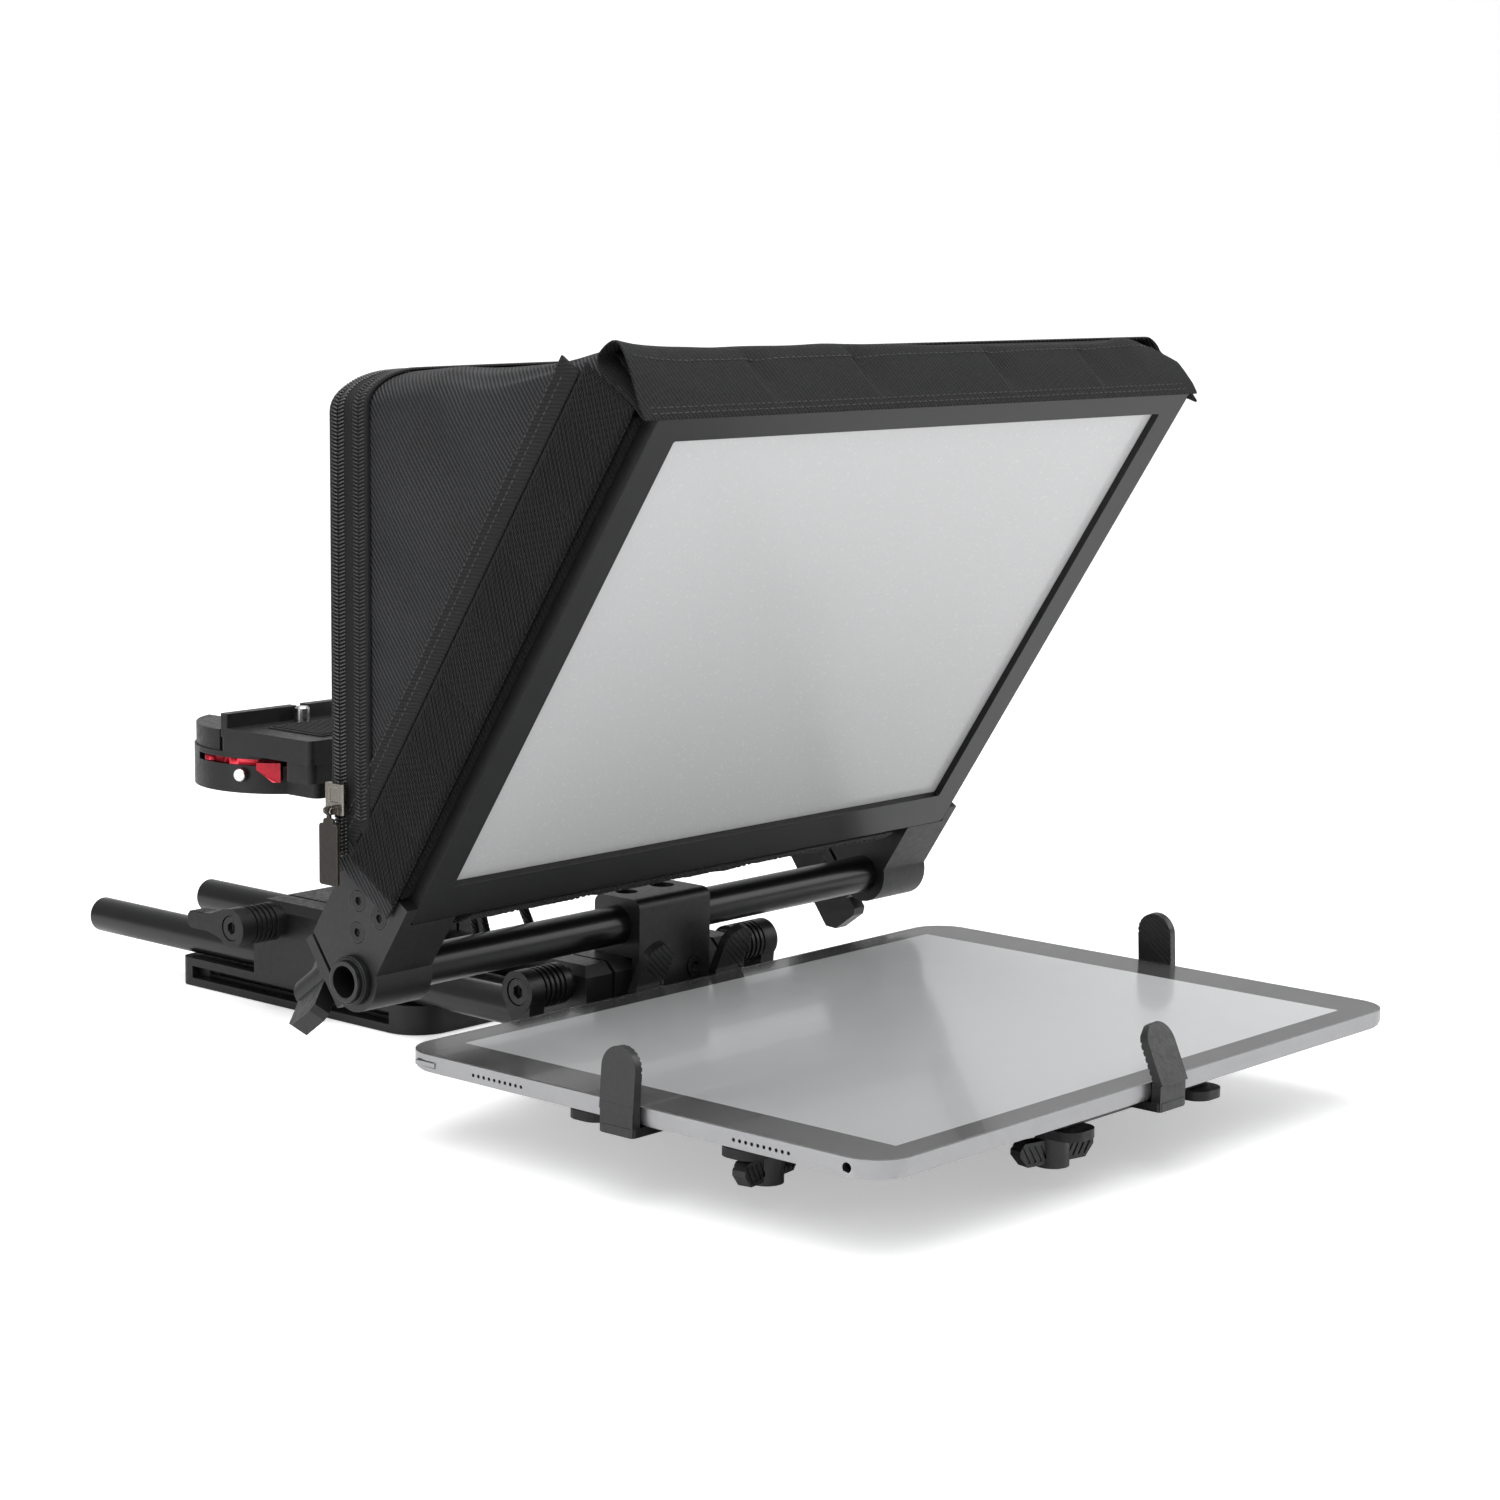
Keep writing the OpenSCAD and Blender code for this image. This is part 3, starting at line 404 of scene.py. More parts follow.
# ---------- CAD pieces ----------
SLOT_MATERIAL = {
    "black_anodised": "anodised", "rod_black": "rod", "frame_black": "frame",
    "knob_plastic": "knob", "clip_plastic": "clip", "rubber": "rubber", "steel": "steel",
    "black_steel": "black_steel", "red_lever": "red", "glass": "glass",
    "hood_fabric": "hood", "hook_loop": "hook_tape", "zipper": "zip_tape",
    "gunmetal": "gunmetal", "cord": "cord", "tablet_metal": "aluminium",
    "tablet_glass": "tablet_glass", "battery": "battery", "circuit": "circuit",
}
# pieces whose material differs from their slot's
PIECE_MATERIAL = {
    "left_bracket": "bracket", "right_bracket": "bracket", "zipper_pull": "pull",
    "front_clamp": "bracket", "centre_block": "bracket",
}
DEFAULT_BEVEL = 0.3
BEVEL = {
    "tablet_shell": 0.15, "tablet_glass": 0.1, "beamsplitter_glass": 0.2,
    "glass_frame": 0.4, "base_plate": 0.6, "quick_base": 0.6, "quick_plate": 0.6,
    "base_clamp": 0.6, "front_clamp": 0.6, "centre_block": 0.6, "left_bracket": 0.5,
    "right_bracket": 0.5, "left_rod": 0.2, "right_rod": 0.2, "quick_pad": 0.25,
    "cradle_arm": 0.5, "riser_lower": 0.6, "riser_upper": 0.6,
}
UNBEVELLED = {
    "hood_shell", "hood_top_flap", "hood_bottom_flap", "velcro_strips", "zipper_tape",
    "draw_cords", "tablet_battery", "tablet_board", "glass_retainer",
}


def modifier(ob, name, kind, **settings):
    added = ob.modifiers.new(name, kind)
    for key, value in settings.items():
        setattr(added, key, value)


def shade_smooth(mesh):
    for polygon in mesh.polygons:
        polygon.use_smooth = True


def dress_piece(name, ob, slot):
    material = PIECE_MATERIAL.get(name, SLOT_MATERIAL.get(slot, "anodised"))
    ob.data.materials.clear()
    ob.data.materials.append(MATERIALS[material])
    shade_smooth(ob.data)
    if name in UNBEVELLED:
        return
    if "custom_normal" in ob.data.attributes:
        ob.data.attributes.remove(ob.data.attributes["custom_normal"])
    modifier(ob, "weld", "WELD", merge_threshold=1e-5)
    modifier(ob, "dissolve", "DECIMATE", decimate_type="DISSOLVE",
             angle_limit=math.radians(0.8))
    modifier(ob, "bevel", "BEVEL", width=BEVEL.get(name, DEFAULT_BEVEL) * MM, segments=2,
             limit_method="ANGLE", angle_limit=math.radians(32), use_clamp_overlap=True,
             miter_outer="MITER_ARC")
    modifier(ob, "normals", "WEIGHTED_NORMAL", mode="FACE_AREA_WITH_ANGLE", weight=60,
             keep_sharp=False)


slot_of = {part["node"]: part["material_slot"] for part in frame["record"]["subparts"]}
for name, ob in nodes.items():
    dress_piece(name, ob, slot_of.get(name))


# ---------- mesh helpers ----------
def make(name, geometry, material):
    """Object from (vertices, faces), with its normals made consistent, riding on the glass."""
    verts, faces = geometry
    mesh = bpy.data.meshes.new(name)
    mesh.from_pydata([tuple(vert) for vert in verts], [], faces)
    mesh.validate()
    mesh.update()
    bm = bmesh.new()
    bm.from_mesh(mesh)
    bmesh.ops.recalc_face_normals(bm, faces=bm.faces)
    bm.to_mesh(mesh)
    bm.free()
    shade_smooth(mesh)
    mesh.materials.append(MATERIALS[material])
    ob = bpy.data.objects.new(name, mesh)
    scene.collection.objects.link(ob)
    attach(ob, "glass")
    return ob


def turn_outward(ob, direction):
    """Flips an open sheet if its face farthest along direction looks the other way."""
    bm = bmesh.new()
    bm.from_mesh(ob.data)
    bm.normal_update()
    farthest = max(bm.faces, key=lambda face: face.calc_center_median().dot(direction))
    if farthest.normal.dot(direction) < 0:
        bmesh.ops.reverse_faces(bm, faces=bm.faces)
    bm.to_mesh(ob.data)
    bm.free()
    shade_smooth(ob.data)


def solidify(ob, thickness, offset):
    modifier(ob, "thickness", "SOLIDIFY", thickness=thickness * MM, offset=offset,
             use_even_offset=False)


def subdivide(ob):
    modifier(ob, "smooth", "SUBSURF", levels=1, render_levels=1)


def grid_faces(rows, columns, closed=False):
    """Quads between rows of vertices; closed joins each row's last column to its first."""
    faces = []
    for i in range(rows - 1):
        for j in range(columns if closed else columns - 1):
            a, b = i * columns + j, i * columns + (j + 1) % columns
            faces.append((a, b, b + columns, a + columns))
    return faces


def sweep(path, rings, caps=True):
    """Carries rings of (a, b) offsets along a path of (point, a direction, b direction)."""
    verts = [point + a_dir * (a * MM) + b_dir * (b * MM)
             for (point, a_dir, b_dir), ring in zip(path, rings) for a, b in ring]
    count = len(rings[0])
    faces = grid_faces(len(path), count, closed=True)
    if caps:
        faces.append(tuple(range(count - 1, -1, -1)))
        faces.append(tuple((len(path) - 1) * count + j for j in range(count)))
    return verts, faces


def ellipse(half_width, half_height, count):
    angles = [2 * math.pi * i / count for i in range(count)]
    return [(half_width * math.cos(angle), half_height * math.sin(angle)) for angle in angles]


def spindle(start, end, across, outward, profile, half_width, half_height):
    """Six-sided bead; profile rows are (share of length, size, drop below the line)."""
    path = [(start.lerp(end, share) - outward * (drop * MM), across, outward)
            for share, _, drop in profile]
    rings = [ellipse(half_width * size, half_height * size, 6) for _, size, _ in profile]
    return sweep(path, rings)


def join_parts(parts):
    verts, faces = [], []
    for part_verts, part_faces in parts:
        offset = len(verts)
        verts += list(part_verts)
        faces += [tuple(i + offset for i in face) for face in part_faces]
    return verts, faces


def running_length(points):
    gaps = ((b - a).length / MM for a, b in zip(points, points[1:]))
    return list(accumulate(gaps, initial=0.0))


def locate(marks, distance):
    """The span of running lengths that holds a distance, and the share of it covered."""
    k = 0
    while k < len(marks) - 2 and distance > marks[k + 1]:
        k += 1
    return k, (distance - marks[k]) / max(marks[k + 1] - marks[k], 1e-9)


STITCH_PROFILE = ((0.0, 0.15, 0), (0.18, 0.8, 0), (0.5, 1.0, 0), (0.82, 0.8, 0), (1.0, 0.15, 0))


def stitch_row(points, normals, length=2.1, pitch=3.1, half_width=0.34, half_height=0.30):
    """A row of sewn stitches, each a small flattened spindle lying on the cloth."""
    marks = running_length(points)
    total = marks[-1]

    def place(distance):
        k, share = locate(marks, min(max(distance, 0), total))
        return (points[k].lerp(points[k + 1], share),
                normals[k].lerp(normals[k + 1], share).normalized())

    parts = []
    centre = pitch / 2
    while centre < total - pitch / 2:
        start, start_normal = place(centre - length / 2)
        end, end_normal = place(centre + length / 2)
        along = end - start
        if along.length > 1e-6:
            along.normalize()
            outward = ((start_normal + end_normal) / 2).normalized()
            across = outward.cross(along).normalized()
            parts.append(spindle(start, end, across, outward, STITCH_PROFILE,
                                 half_width, half_height))
        centre += pitch
    return join_parts(parts)


def smooth_noise(x, seed):
    """Sum of five sines with random frequency, phase and strength."""
    rng = random.Random(seed)
    terms = [(rng.uniform(0.6, 1.5), rng.uniform(0, 6.28), rng.uniform(0.4, 1.0))
             for _ in range(5)]
    return sum(strength * math.sin(frequency * (i + 1) * x + phase)
               for i, (frequency, phase, strength) in enumerate(terms)) / 2.5


# ---------- hood: one sheet from the glass back to a rounded rear end ----------
HOOD_X = 157.0  # half width
TOP_FRONT = (-120.3, 225.8)  # y, z of the top's front edge, behind the flap
REAR_Y = 8.0
REAR_ROUND = 1.6  # rounding between the walls and the rear panel
WALL_END_Y = REAR_Y - REAR_ROUND
REAR_BOTTOM, REAR_TOP = 41.0, 213.2
LENS_Z, LENS_RADIUS = 120.0, 56.0
WALL_STEPS, CORNER_STEPS, TOP_STEPS = 44, 12, 58


def quarter_turn():
    return [math.pi / 2 * i / CORNER_STEPS for i in range(1, CORNER_STEPS + 1)]


def resample(points, count):
    """Evenly spaced points along a line of (y, z) points."""
    gaps = (math.hypot(b[0] - a[0], b[1] - a[1]) for a, b in zip(points, points[1:]))
    marks = list(accumulate(gaps, initial=0.0))
    spaced = []
    for i in range(count + 1):
        k, share = locate(marks, marks[-1] * i / count)
        (y0, z0), (y1, z1) = points[k], points[k + 1]
        spaced.append((y0 + (y1 - y0) * share, z0 + (z1 - z0) * share))
    return spaced


def mirrored_loop(left, top):
    """Left wall and corner, top, then the left side mirrored."""
    return left + top + [Vector((-v.x, v.y, v.z)) for v in reversed(left)]


def front_loop():
    corner = 6.0
    top_y, top_z = TOP_FRONT
    ahead = 3
    wall = resample([sheet_yz(ahead, 31), sheet_yz(ahead, 250.8),
                     (top_y - 2.5, top_z - corner)], WALL_STEPS)
    left = [Vector((-HOOD_X, y, z)) for y, z in wall]
    wall_y, wall_z = wall[-1]
    for angle in quarter_turn():
        turn = math.sin(angle)
        left.append(Vector((-HOOD_X + corner * (1 - math.cos(angle)),
                            wall_y + (top_y - wall_y) * turn,
                            wall_z + (top_z - wall_z) * turn)))
    top_x = HOOD_X - corner
    top = [Vector((x, top_y, top_z)) for x in stations(-top_x, top_x, TOP_STEPS)[1:-1]]
    return mirrored_loop(left, top)


def rear_loop():
    corner_x, corner_z = 26.0, 12.5
    crown = 0.8  # rise of the top at its middle
    wall_top = REAR_TOP - corner_z
    left = [Vector((-HOOD_X, WALL_END_Y, z))
            for z in stations(REAR_BOTTOM, wall_top, WALL_STEPS)]
    for angle in quarter_turn():
        left.append(Vector((-HOOD_X + corner_x * (1 - math.cos(angle) ** 1.12), WALL_END_Y,
                            wall_top + corner_z * math.sin(angle) ** 0.94)))
    top_x = HOOD_X - corner_x
    top = [Vector((x, WALL_END_Y, REAR_TOP + crown * (1 - (x / top_x) ** 2)))
           for x in stations(-top_x, top_x, TOP_STEPS)[1:-1]]
    return mirrored_loop(left, top)


FRONT_LOOP, REAR_LOOP = front_loop(), rear_loop()
LOOP_COUNT = len(FRONT_LOOP)


def on_hood(m, y):
    """Point of lengthwise line m of the hood at a given y."""
    front, rear = FRONT_LOOP[m], REAR_LOOP[m]
    return front + (rear - front) * ((y - front.y) / (rear.y - front.y))


class PinnedSheet:
    """Vertices and faces of the hood, and the vertices held still while it drapes."""

    def __init__(self):
        self.verts, self.faces, self.pins = [], [], set()

    def add(self, vert, pinned):
        index = len(self.verts)
        self.verts.append(vert.copy())
        if pinned:
            self.pins.add(index)
        return index

    def bridge(self, outer, inner):
        for i in range(len(outer)):
            j = (i + 1) % len(outer)
            self.faces.append((outer[i], inner[i], inner[j], outer[j]))


def hood_walls(sheet):
    """Walls and top between the front and rear loops; returns the rear row."""
    rows = 32
    for i in range(rows + 1):
        share = i / rows
        row = []
        for m in range(LOOP_COUNT):
            vert = FRONT_LOOP[m].lerp(REAR_LOOP[m], share)
            from_bottom = min(m, LOOP_COUNT - 1 - m)
            ahead = -(vert.y * COS_LEAN + vert.z * SIN_LEAN)
            front_wall = abs(vert.x) > HOOD_X - 0.5 and ahead > -35
            corner = WALL_STEPS - 1 <= from_bottom <= WALL_STEPS + CORNER_STEPS
            pinned = (i <= 1 or i >= rows or vert.y > -14 or front_wall
                      or from_bottom <= 1 or (corner and share > 0.6))
            row.append(sheet.add(vert, pinned))
    sheet.faces += [(a, d, c, b) for a, b, c, d in grid_faces(rows + 1, LOOP_COUNT)]
    return row


def rear_panel(sheet, edge):
    """Rounded edge, then rings in to the lens opening."""
    bottom_steps, ring_count = 56, 13
    bottom = [sheet.add(Vector((x, WALL_END_Y, REAR_BOTTOM)), True)
              for x in stations(HOOD_X, -HOOD_X, bottom_steps)[1:-1]]
    loop = list(edge) + bottom
    count = len(loop)
    ends = (0, len(edge) - 1)
    base = [sheet.verts[k].copy() for k in loop]
    inward = []
    for i in range(count):
        if i in ends or i >= len(edge):
            inward.append(Vector((0, 0, 0)))
            continue
        along = base[(i + 1) % count] - base[i - 1]
        inner = Vector((along.z, 0, -along.x)).normalized()
        if inner.dot(Vector((-base[i].x, 0, LENS_Z - base[i].z))) < 0:
            inner = -inner
        inward.append(inner)
    previous = loop
    for degrees in (30, 60, 90):
        angle = math.radians(degrees)
        inset = REAR_ROUND * (1 - math.cos(angle))
        ring = []
        for i in range(count):
            vert = base[i] + inward[i] * inset
            vert.y = WALL_END_Y + REAR_ROUND * math.sin(angle)
            if i in ends:
                vert.x -= math.copysign(inset, vert.x)
            ring.append(sheet.add(vert, True))
        sheet.bridge(previous, ring)
        previous = ring
    outer = [sheet.verts[k].copy() for k in previous]
    for r in range(1, ring_count + 1):
        ring = []
        for start in outer:
            angle = math.atan2(start.z - LENS_Z, start.x)
            hole = Vector((LENS_RADIUS * math.cos(angle), REAR_Y,
                           LENS_Z + LENS_RADIUS * math.sin(angle)))
            pinned = r <= 1 or r >= ring_count - 1
            ring.append(sheet.add(start.lerp(hole, r / ring_count), pinned))
        sheet.bridge(previous, ring)
        previous = ring


def simulate_cloth(ob, frames):
    """Runs the cloth and returns the vertex places of the last frame."""
    cloth = ob.modifiers.new("cloth", "CLOTH")
    settings = cloth.settings
    settings.quality = 5
    settings.mass = 0.18
    settings.tension_stiffness = settings.compression_stiffness = 12.0
    settings.shear_stiffness = 6
    settings.bending_stiffness = 0.6
    settings.shrink_min = -0.010  # the cloth grows by 1%
    settings.vertex_group_mass = "pins"
    settings.use_pressure = True
    settings.uniform_pressure_force = 1.2
    settings.effector_weights.gravity = 0.25
    cloth.collision_settings.use_collision = False
    cloth.point_cache.frame_start, cloth.point_cache.frame_end = 1, frames
    scene.frame_start, scene.frame_end = 1, frames
    for number in range(1, frames + 1):
        scene.frame_set(number)
    evaluated = ob.evaluated_get(bpy.context.evaluated_depsgraph_get())
    draped = np.array([v.co for v in evaluated.to_mesh().vertices], float)
    evaluated.to_mesh_clear()
    ob.modifiers.remove(cloth)
    scene.frame_set(1)
    return draped


def drape(ob, pins, frames=14, limit=2.4 * MM):
    """Lets the cloth relax between its pins and keeps the result, softly limited."""
    rest = np.array([v.co for v in ob.data.vertices], float)
    group = ob.vertex_groups.new(name="pins")
    group.add(list(pins), 1.0, "REPLACE")
    move = simulate_cloth(ob, frames) - rest
    move[~np.isfinite(move).all(axis=1)] = 0
    length = np.linalg.norm(move, axis=1)
    keep = np.where(length > 1e-9, np.tanh(length / limit) * limit / np.maximum(length, 1e-9), 0)
    move = move * keep[:, None]
    # a light smoothing keeps seams of the grid from showing
    pairs = np.array([edge.vertices[:] for edge in ob.data.edges])
    for _ in range(2):
        total = np.zeros_like(move)
        count = np.zeros(len(move))
        np.add.at(total, pairs[:, 0], move[pairs[:, 1]])
        np.add.at(total, pairs[:, 1], move[pairs[:, 0]])
        np.add.at(count, pairs[:, 0], 1)
        np.add.at(count, pairs[:, 1], 1)
        move = 0.5 * move + 0.5 * total / np.maximum(count, 1)[:, None]
    free = np.ones(len(move))
    free[list(pins)] = 0.0
    draped = rest + move * free[:, None]
    ob.data.vertices.foreach_set("co", draped.astype(np.float32).ravel())
    ob.data.update()


def build_hood():
    sheet = PinnedSheet()
    rear_panel(sheet, hood_walls(sheet))
    ob = make("hood_cover", ([tube_point(*v) for v in sheet.verts], sheet.faces), "hood")
    turn_outward(ob, Vector((0, 0, 1)))
    drape(ob, sheet.pins)
    solidify(ob, 1.2, offset=-1.0)
    subdivide(ob)
    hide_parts("hood_shell")
    return ob


hood = build_hood()


# ---------- hem and stitches round the lens opening ----------
def build_lens_hem():
    radius, y, steps = LENS_RADIUS + 0.3, 7.6, 96
    path = []
    for i in range(steps):
        angle = 2 * math.pi * i / steps
        outward = Vector((math.cos(angle), 0, math.sin(angle)))
        point = tube_point(radius * outward.x, y, LENS_Z + radius * outward.z)
        path.append((point, outward, REARWARD))
    ring = ellipse(1.9, 1.5, 12)
    verts, faces = sweep(path, [ring] * steps, caps=False)
    count = len(ring)
    last = (steps - 1) * count
    for j in range(count):
        k = (j + 1) % count
        faces.append((last + j, last + k, k, j))
    make("lens_opening_hem", (verts, faces), "binding")

    radius, y = LENS_RADIUS + 5.5, 8.15
    points = [tube_point(radius * math.cos(angle), y, LENS_Z + radius * math.sin(angle))
              for angle in np.linspace(0, 2 * math.pi, 120)]
    make("lens_opening_stitches", stitch_row(points, [REARWARD] * len(points)), "thread")


build_lens_hem()

# ---------- binding, loop tape and hook tape on both sides ----------
# (ahead, outward) round the sections
BINDING_SECTION = [
    (-5.0, 0.0), (-4.8, 0.5), (-4.1, 0.8), (-2.0, 0.7), (0, 0.95),
    (3.9, 0.85), (4.8, 0.5), (5.0, 0.0), (4.2, -0.3), (-4.2, -0.3),
]
HOOK_HALF, HOOK_RIDGES = 8.2, 20
HOOK_SECTION = (
    [(-8.1, -2.1), (8.1, -2.1), (HOOK_HALF, -1.6)]
    + [(HOOK_HALF - 2 * HOOK_HALF / HOOK_RIDGES * q, 1.7 + (0.35 if q % 2 else 0.0))
       for q in range(HOOK_RIDGES + 1)]
    + [(-HOOK_HALF, -1.6)]
)


def strip_path(side, x, ahead, rises):
    outward = Vector((side, 0, 0))
    return [(glass_point(side * x, ahead, rise), AHEAD, outward) for rise in rises]


def build_binding(side, label):
    path = strip_path(side, HOOD_X + 0.15, -28.2, stations(44, 245.2, 70))
    geometry = sweep(path, [BINDING_SECTION] * len(path))
    make(f"{label}_seam_binding", geometry, "binding")
    rows = []
    for ahead, lift in ((-4.0, 0.72), (-0.6, 0.82)):
        points = [point + AHEAD * (ahead * MM) + outward * (lift * MM)
                  for point, _, outward in path[1:-1]]
        normals = [Vector((side, 0, 0))] * len(points)
        rows.append(stitch_row(points, normals, length=1.5, pitch=2.3))
    make(f"{label}_seam_stitches", join_parts(rows), "thread")


def build_loop_tape(side, label):
    """Ribbed tape on the hood's outer face; the ribs change direction block by block."""
    ahead_lo, ahead_hi, rise_lo, rise_hi = -22.8, 3.0, 38.0, 249.4
    columns, rows = 48, 400
    block_length, rib_pitch, rib_height, tape_height = 27.5, 2.1, 0.42, 0.9
    verts = []
    for rise in stations(rise_lo, rise_hi, rows):
        block = (rise - rise_lo) / block_length
        share = block - int(block)
        slant = 1 if int(block) % 2 == 0 else -1
        fade = min(1.0, min(share, 1 - share) * block_length / 1.2)
        for ahead in stations(ahead_lo, ahead_hi, columns):
            margin = min(ahead - ahead_lo, ahead_hi - ahead,
                         rise - rise_lo + 0.01, rise_hi - rise + 0.01)
            rim_fade = min(1.0, max(0.0, (margin - 0.4) / 1.3))
            across = rise * 0.72 + slant * ahead * 0.69
            rib = abs(math.sin(math.pi * across / rib_pitch))
            height = tape_height + rib_height * rib * fade * rim_fade
            if margin < 1.2:
                height *= 0.55 + 0.45 * max(margin, 0) / 1.2
            verts.append(glass_point(side * (HOOD_X + height), ahead, rise))
    width = columns + 1
    faces = grid_faces(rows + 1, width)
    if side > 0:
        faces = [face[::-1] for face in faces]
    # rim and flat back
    border = (list(range(width))
              + [i * width + columns for i in range(1, rows + 1)]
              + [rows * width + j for j in range(columns - 1, -1, -1)]
              + [i * width for i in range(rows - 1, 0, -1)])
    base, count = len(verts), len(border)
    for k in border:
        vert = verts[k].copy()
        vert.x = side * (HOOD_X + 0.05) * MM
        verts.append(vert)
    for i in range(count):
        j = (i + 1) % count
        faces.append((border[i], border[j], base + j, base + i))
    faces.append(tuple(base + i for i in range(count)))
    make(f"{label}_loop_tape", (verts, faces), "hook_tape")


def build_hook_tape(side, label):
    """Ridged tape between the hood and the frame."""
    path = strip_path(side, 152.4, -5.5, stations(40, 245.6, 40))
    geometry = sweep(path, [HOOK_SECTION] * len(path))
    return make(f"{label}_hook_tape", geometry, "hook_tape")


for side, label in ((-1, "left"), (1, "right")):
    build_binding(side, label)
    build_loop_tape(side, label)
    hook_tape = build_hook_tape(side, label)
    if side < 0:
        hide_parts("velcro_strips")

# ---------- two zips round the rear end of the hood ----------
# y, height above the hood
ZIP_TAPE_SECTION = [
    (-12.4, 0.25), (-12.0, 0.75), (-11.0, 0.45), (-7.6, 0.5), (-4.4, 0.45),
    (-2.6, 0.3), (-0.8, 0.45), (3.4, 0.5), (6.6, 0.45), (7.6, 0.2),
]
# share of length, size, drop
TOOTH_PROFILE = ((0.0, 0.8, 0.10), (0.35, 1.0, 0.0), (0.8, 1.1, 0.05), (1.0, 0.7, 0.35))


def zip_line(y, bottom, lift):
    """(point, outward normal) from the lower left over the top to the lower right."""
    points, normals = [], []
    for m in range(LOOP_COUNT):
        point = on_hood(m, y)
        if point.z < bottom:
            continue
        forward = (on_hood(m, y - 4) - point).normalized()
        after, before = on_hood(min(m + 1, LOOP_COUNT - 1), y), on_hood(max(m - 1, 0), y)
        normal = (after - before).normalized().cross(forward).normalized()
        if normal.dot(Vector((point.x, 0, point.z - LENS_Z))) < 0:
            normal = -normal
        points.append(point + normal * lift)
        normals.append(normal)
    for end in (0, -1):
        points[end] = Vector((points[end].x, points[end].y, bottom))
    return [(tube_point(*point), normal) for point, normal in zip(points, normals)]


def build_zip_tape():
    """Woven tape under both rows of teeth."""
    rows = [zip_line(min(y, WALL_END_Y), 43.0 if y > -2 else 50.0, lift)
            for y, lift in ZIP_TAPE_SECTION]
    # trim every row evenly to the shortest
    count = min(len(row) for row in rows)
    rows = [row[(len(row) - count) // 2:][:count] for row in rows]
    verts = [point + Vector((0, max(y - WALL_END_Y, 0) * MM, 0))
             for (y, _), row in zip(ZIP_TAPE_SECTION, rows) for point, _ in row]
    ob = make("zip_tape", (verts, grid_faces(len(rows), count)), "zip_tape")
    turn_outward(ob, Vector((-1, 0, 0)))
    solidify(ob, 0.5, offset=1.0)
    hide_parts("zipper_tape")


def zip_teeth(y, bottom, lift, reach, half_height, half_width=0.40, step=1.30):
    """Chevron teeth: two slanted coil turns at each step, meeting on the centre line."""
    line = zip_line(y, bottom, lift)
    marks = running_length([point for point, _ in line])
    centres = []
    distance = 0.0
    while distance < marks[-1]:
        k, share = locate(marks, distance)
        (start, start_normal), (end, end_normal) = line[k], line[k + 1]
        centres.append((start.lerp(end, share),
                        start_normal.lerp(end_normal, share).normalized()))
        distance += step
    parts = []
    for i in range(1, len(centres) - 1):
        point, normal = centres[i]
        along = (centres[i + 1][0] - centres[i - 1][0]).normalized()
        aside = normal.cross(along).normalized()
        for sign in (-1, 1):
            inner = point - along * (0.50 * MM) + aside * (sign * 0.15 * MM)
            outer = point + aside * (sign * reach * MM) + along * (0.55 * MM)
            across = normal.cross((outer - inner).normalized()).normalized()
            parts.append(spindle(inner, outer, across, normal, TOOTH_PROFILE,
                                 half_width, half_height))
    return join_parts(parts)


build_zip_tape()
rear_teeth = zip_teeth(y=3.0, bottom=44.0, lift=1.15, reach=3.2, half_height=0.60)
make("zip_teeth", rear_teeth, "coil")
front_teeth = zip_teeth(y=-7.4, bottom=58.0, lift=1.00, reach=3.0, half_height=0.55)
make("second_zip_teeth", front_teeth, "dull_coil")

# ---------- top flap: a folded band, open at its left end ----------
# centre x, width of the fade on its right, depth
PLEATS = ((-92, 9, 2.0), (-37, 10, 2.2), (38, 10, 2.2), (94, 9, 2.0))
FLAP_STEPS = 300
FLAP_Y, FLAP_Z = sheet_yz(9.2, 248.4)  # lower edge of the band
FLAP_UP = Vector((0, -122.4 - FLAP_Y, 226.0 - FLAP_Z)).normalized()
FLAP_OUT = Vector((0, -FLAP_UP.z, FLAP_UP.y))


def flap_section(x):
    """Loop section at x as (up along the band, outward)."""
    ripple = 0.45 * smooth_noise(x / 42.0, 3)
    crease = 0.0
    for centre, fade, depth in PLEATS:
        offset = x - centre
        crease += depth * math.exp(-(offset / (1.6 if offset < 0 else fade)) ** 2)
    right_end = max(0.0, (x - 132) / 21)
    left_open = max(0.0, (-x - 126) / 31) ** 1.5
    right_swell = math.exp(-((x - 124) / 9) ** 2)
    top = (30.0 - 4.6 * (x + HOOD_X) / 300 + ripple - 8.5 * right_end ** 1.6
           + 2.6 * right_swell + 1.0 * math.exp(-((x + 30) / 30) ** 2))
    front = 3.2 + 0.4 * ripple + 5.0 * left_open - 1.6 * right_end + 1.2 * right_swell
    front = max(front, 0.9)
    back = max((2.0 + 2.4 * left_open) * (1 - 0.5 * right_end), 0.5)
    section = [
        (0.0, 0.3), (1.0, 1.0), (4.0, 1.1),
        (9.0, 1.4 + 0.2 * front - 0.45 * crease),
        (15.0, 0.6 * front + 0.7 - 0.9 * crease),
        (20.5, 0.85 * front + 0.4 - 0.8 * crease),
        (25.0, front - 0.35 * crease),
        (28.2, front * 0.95), (29.7, front * 0.55), (30.0, 0.0),
        (29.4, -back * 0.6), (27.4, -back), (24.0, -back), (17.0, -back * 0.75),
        (10.0, -0.9), (5.0, -0.55), (1.0, -0.35),
    ]
    return [(up * top / 30.0 if up > 1.0 else up, out) for up, out in section]


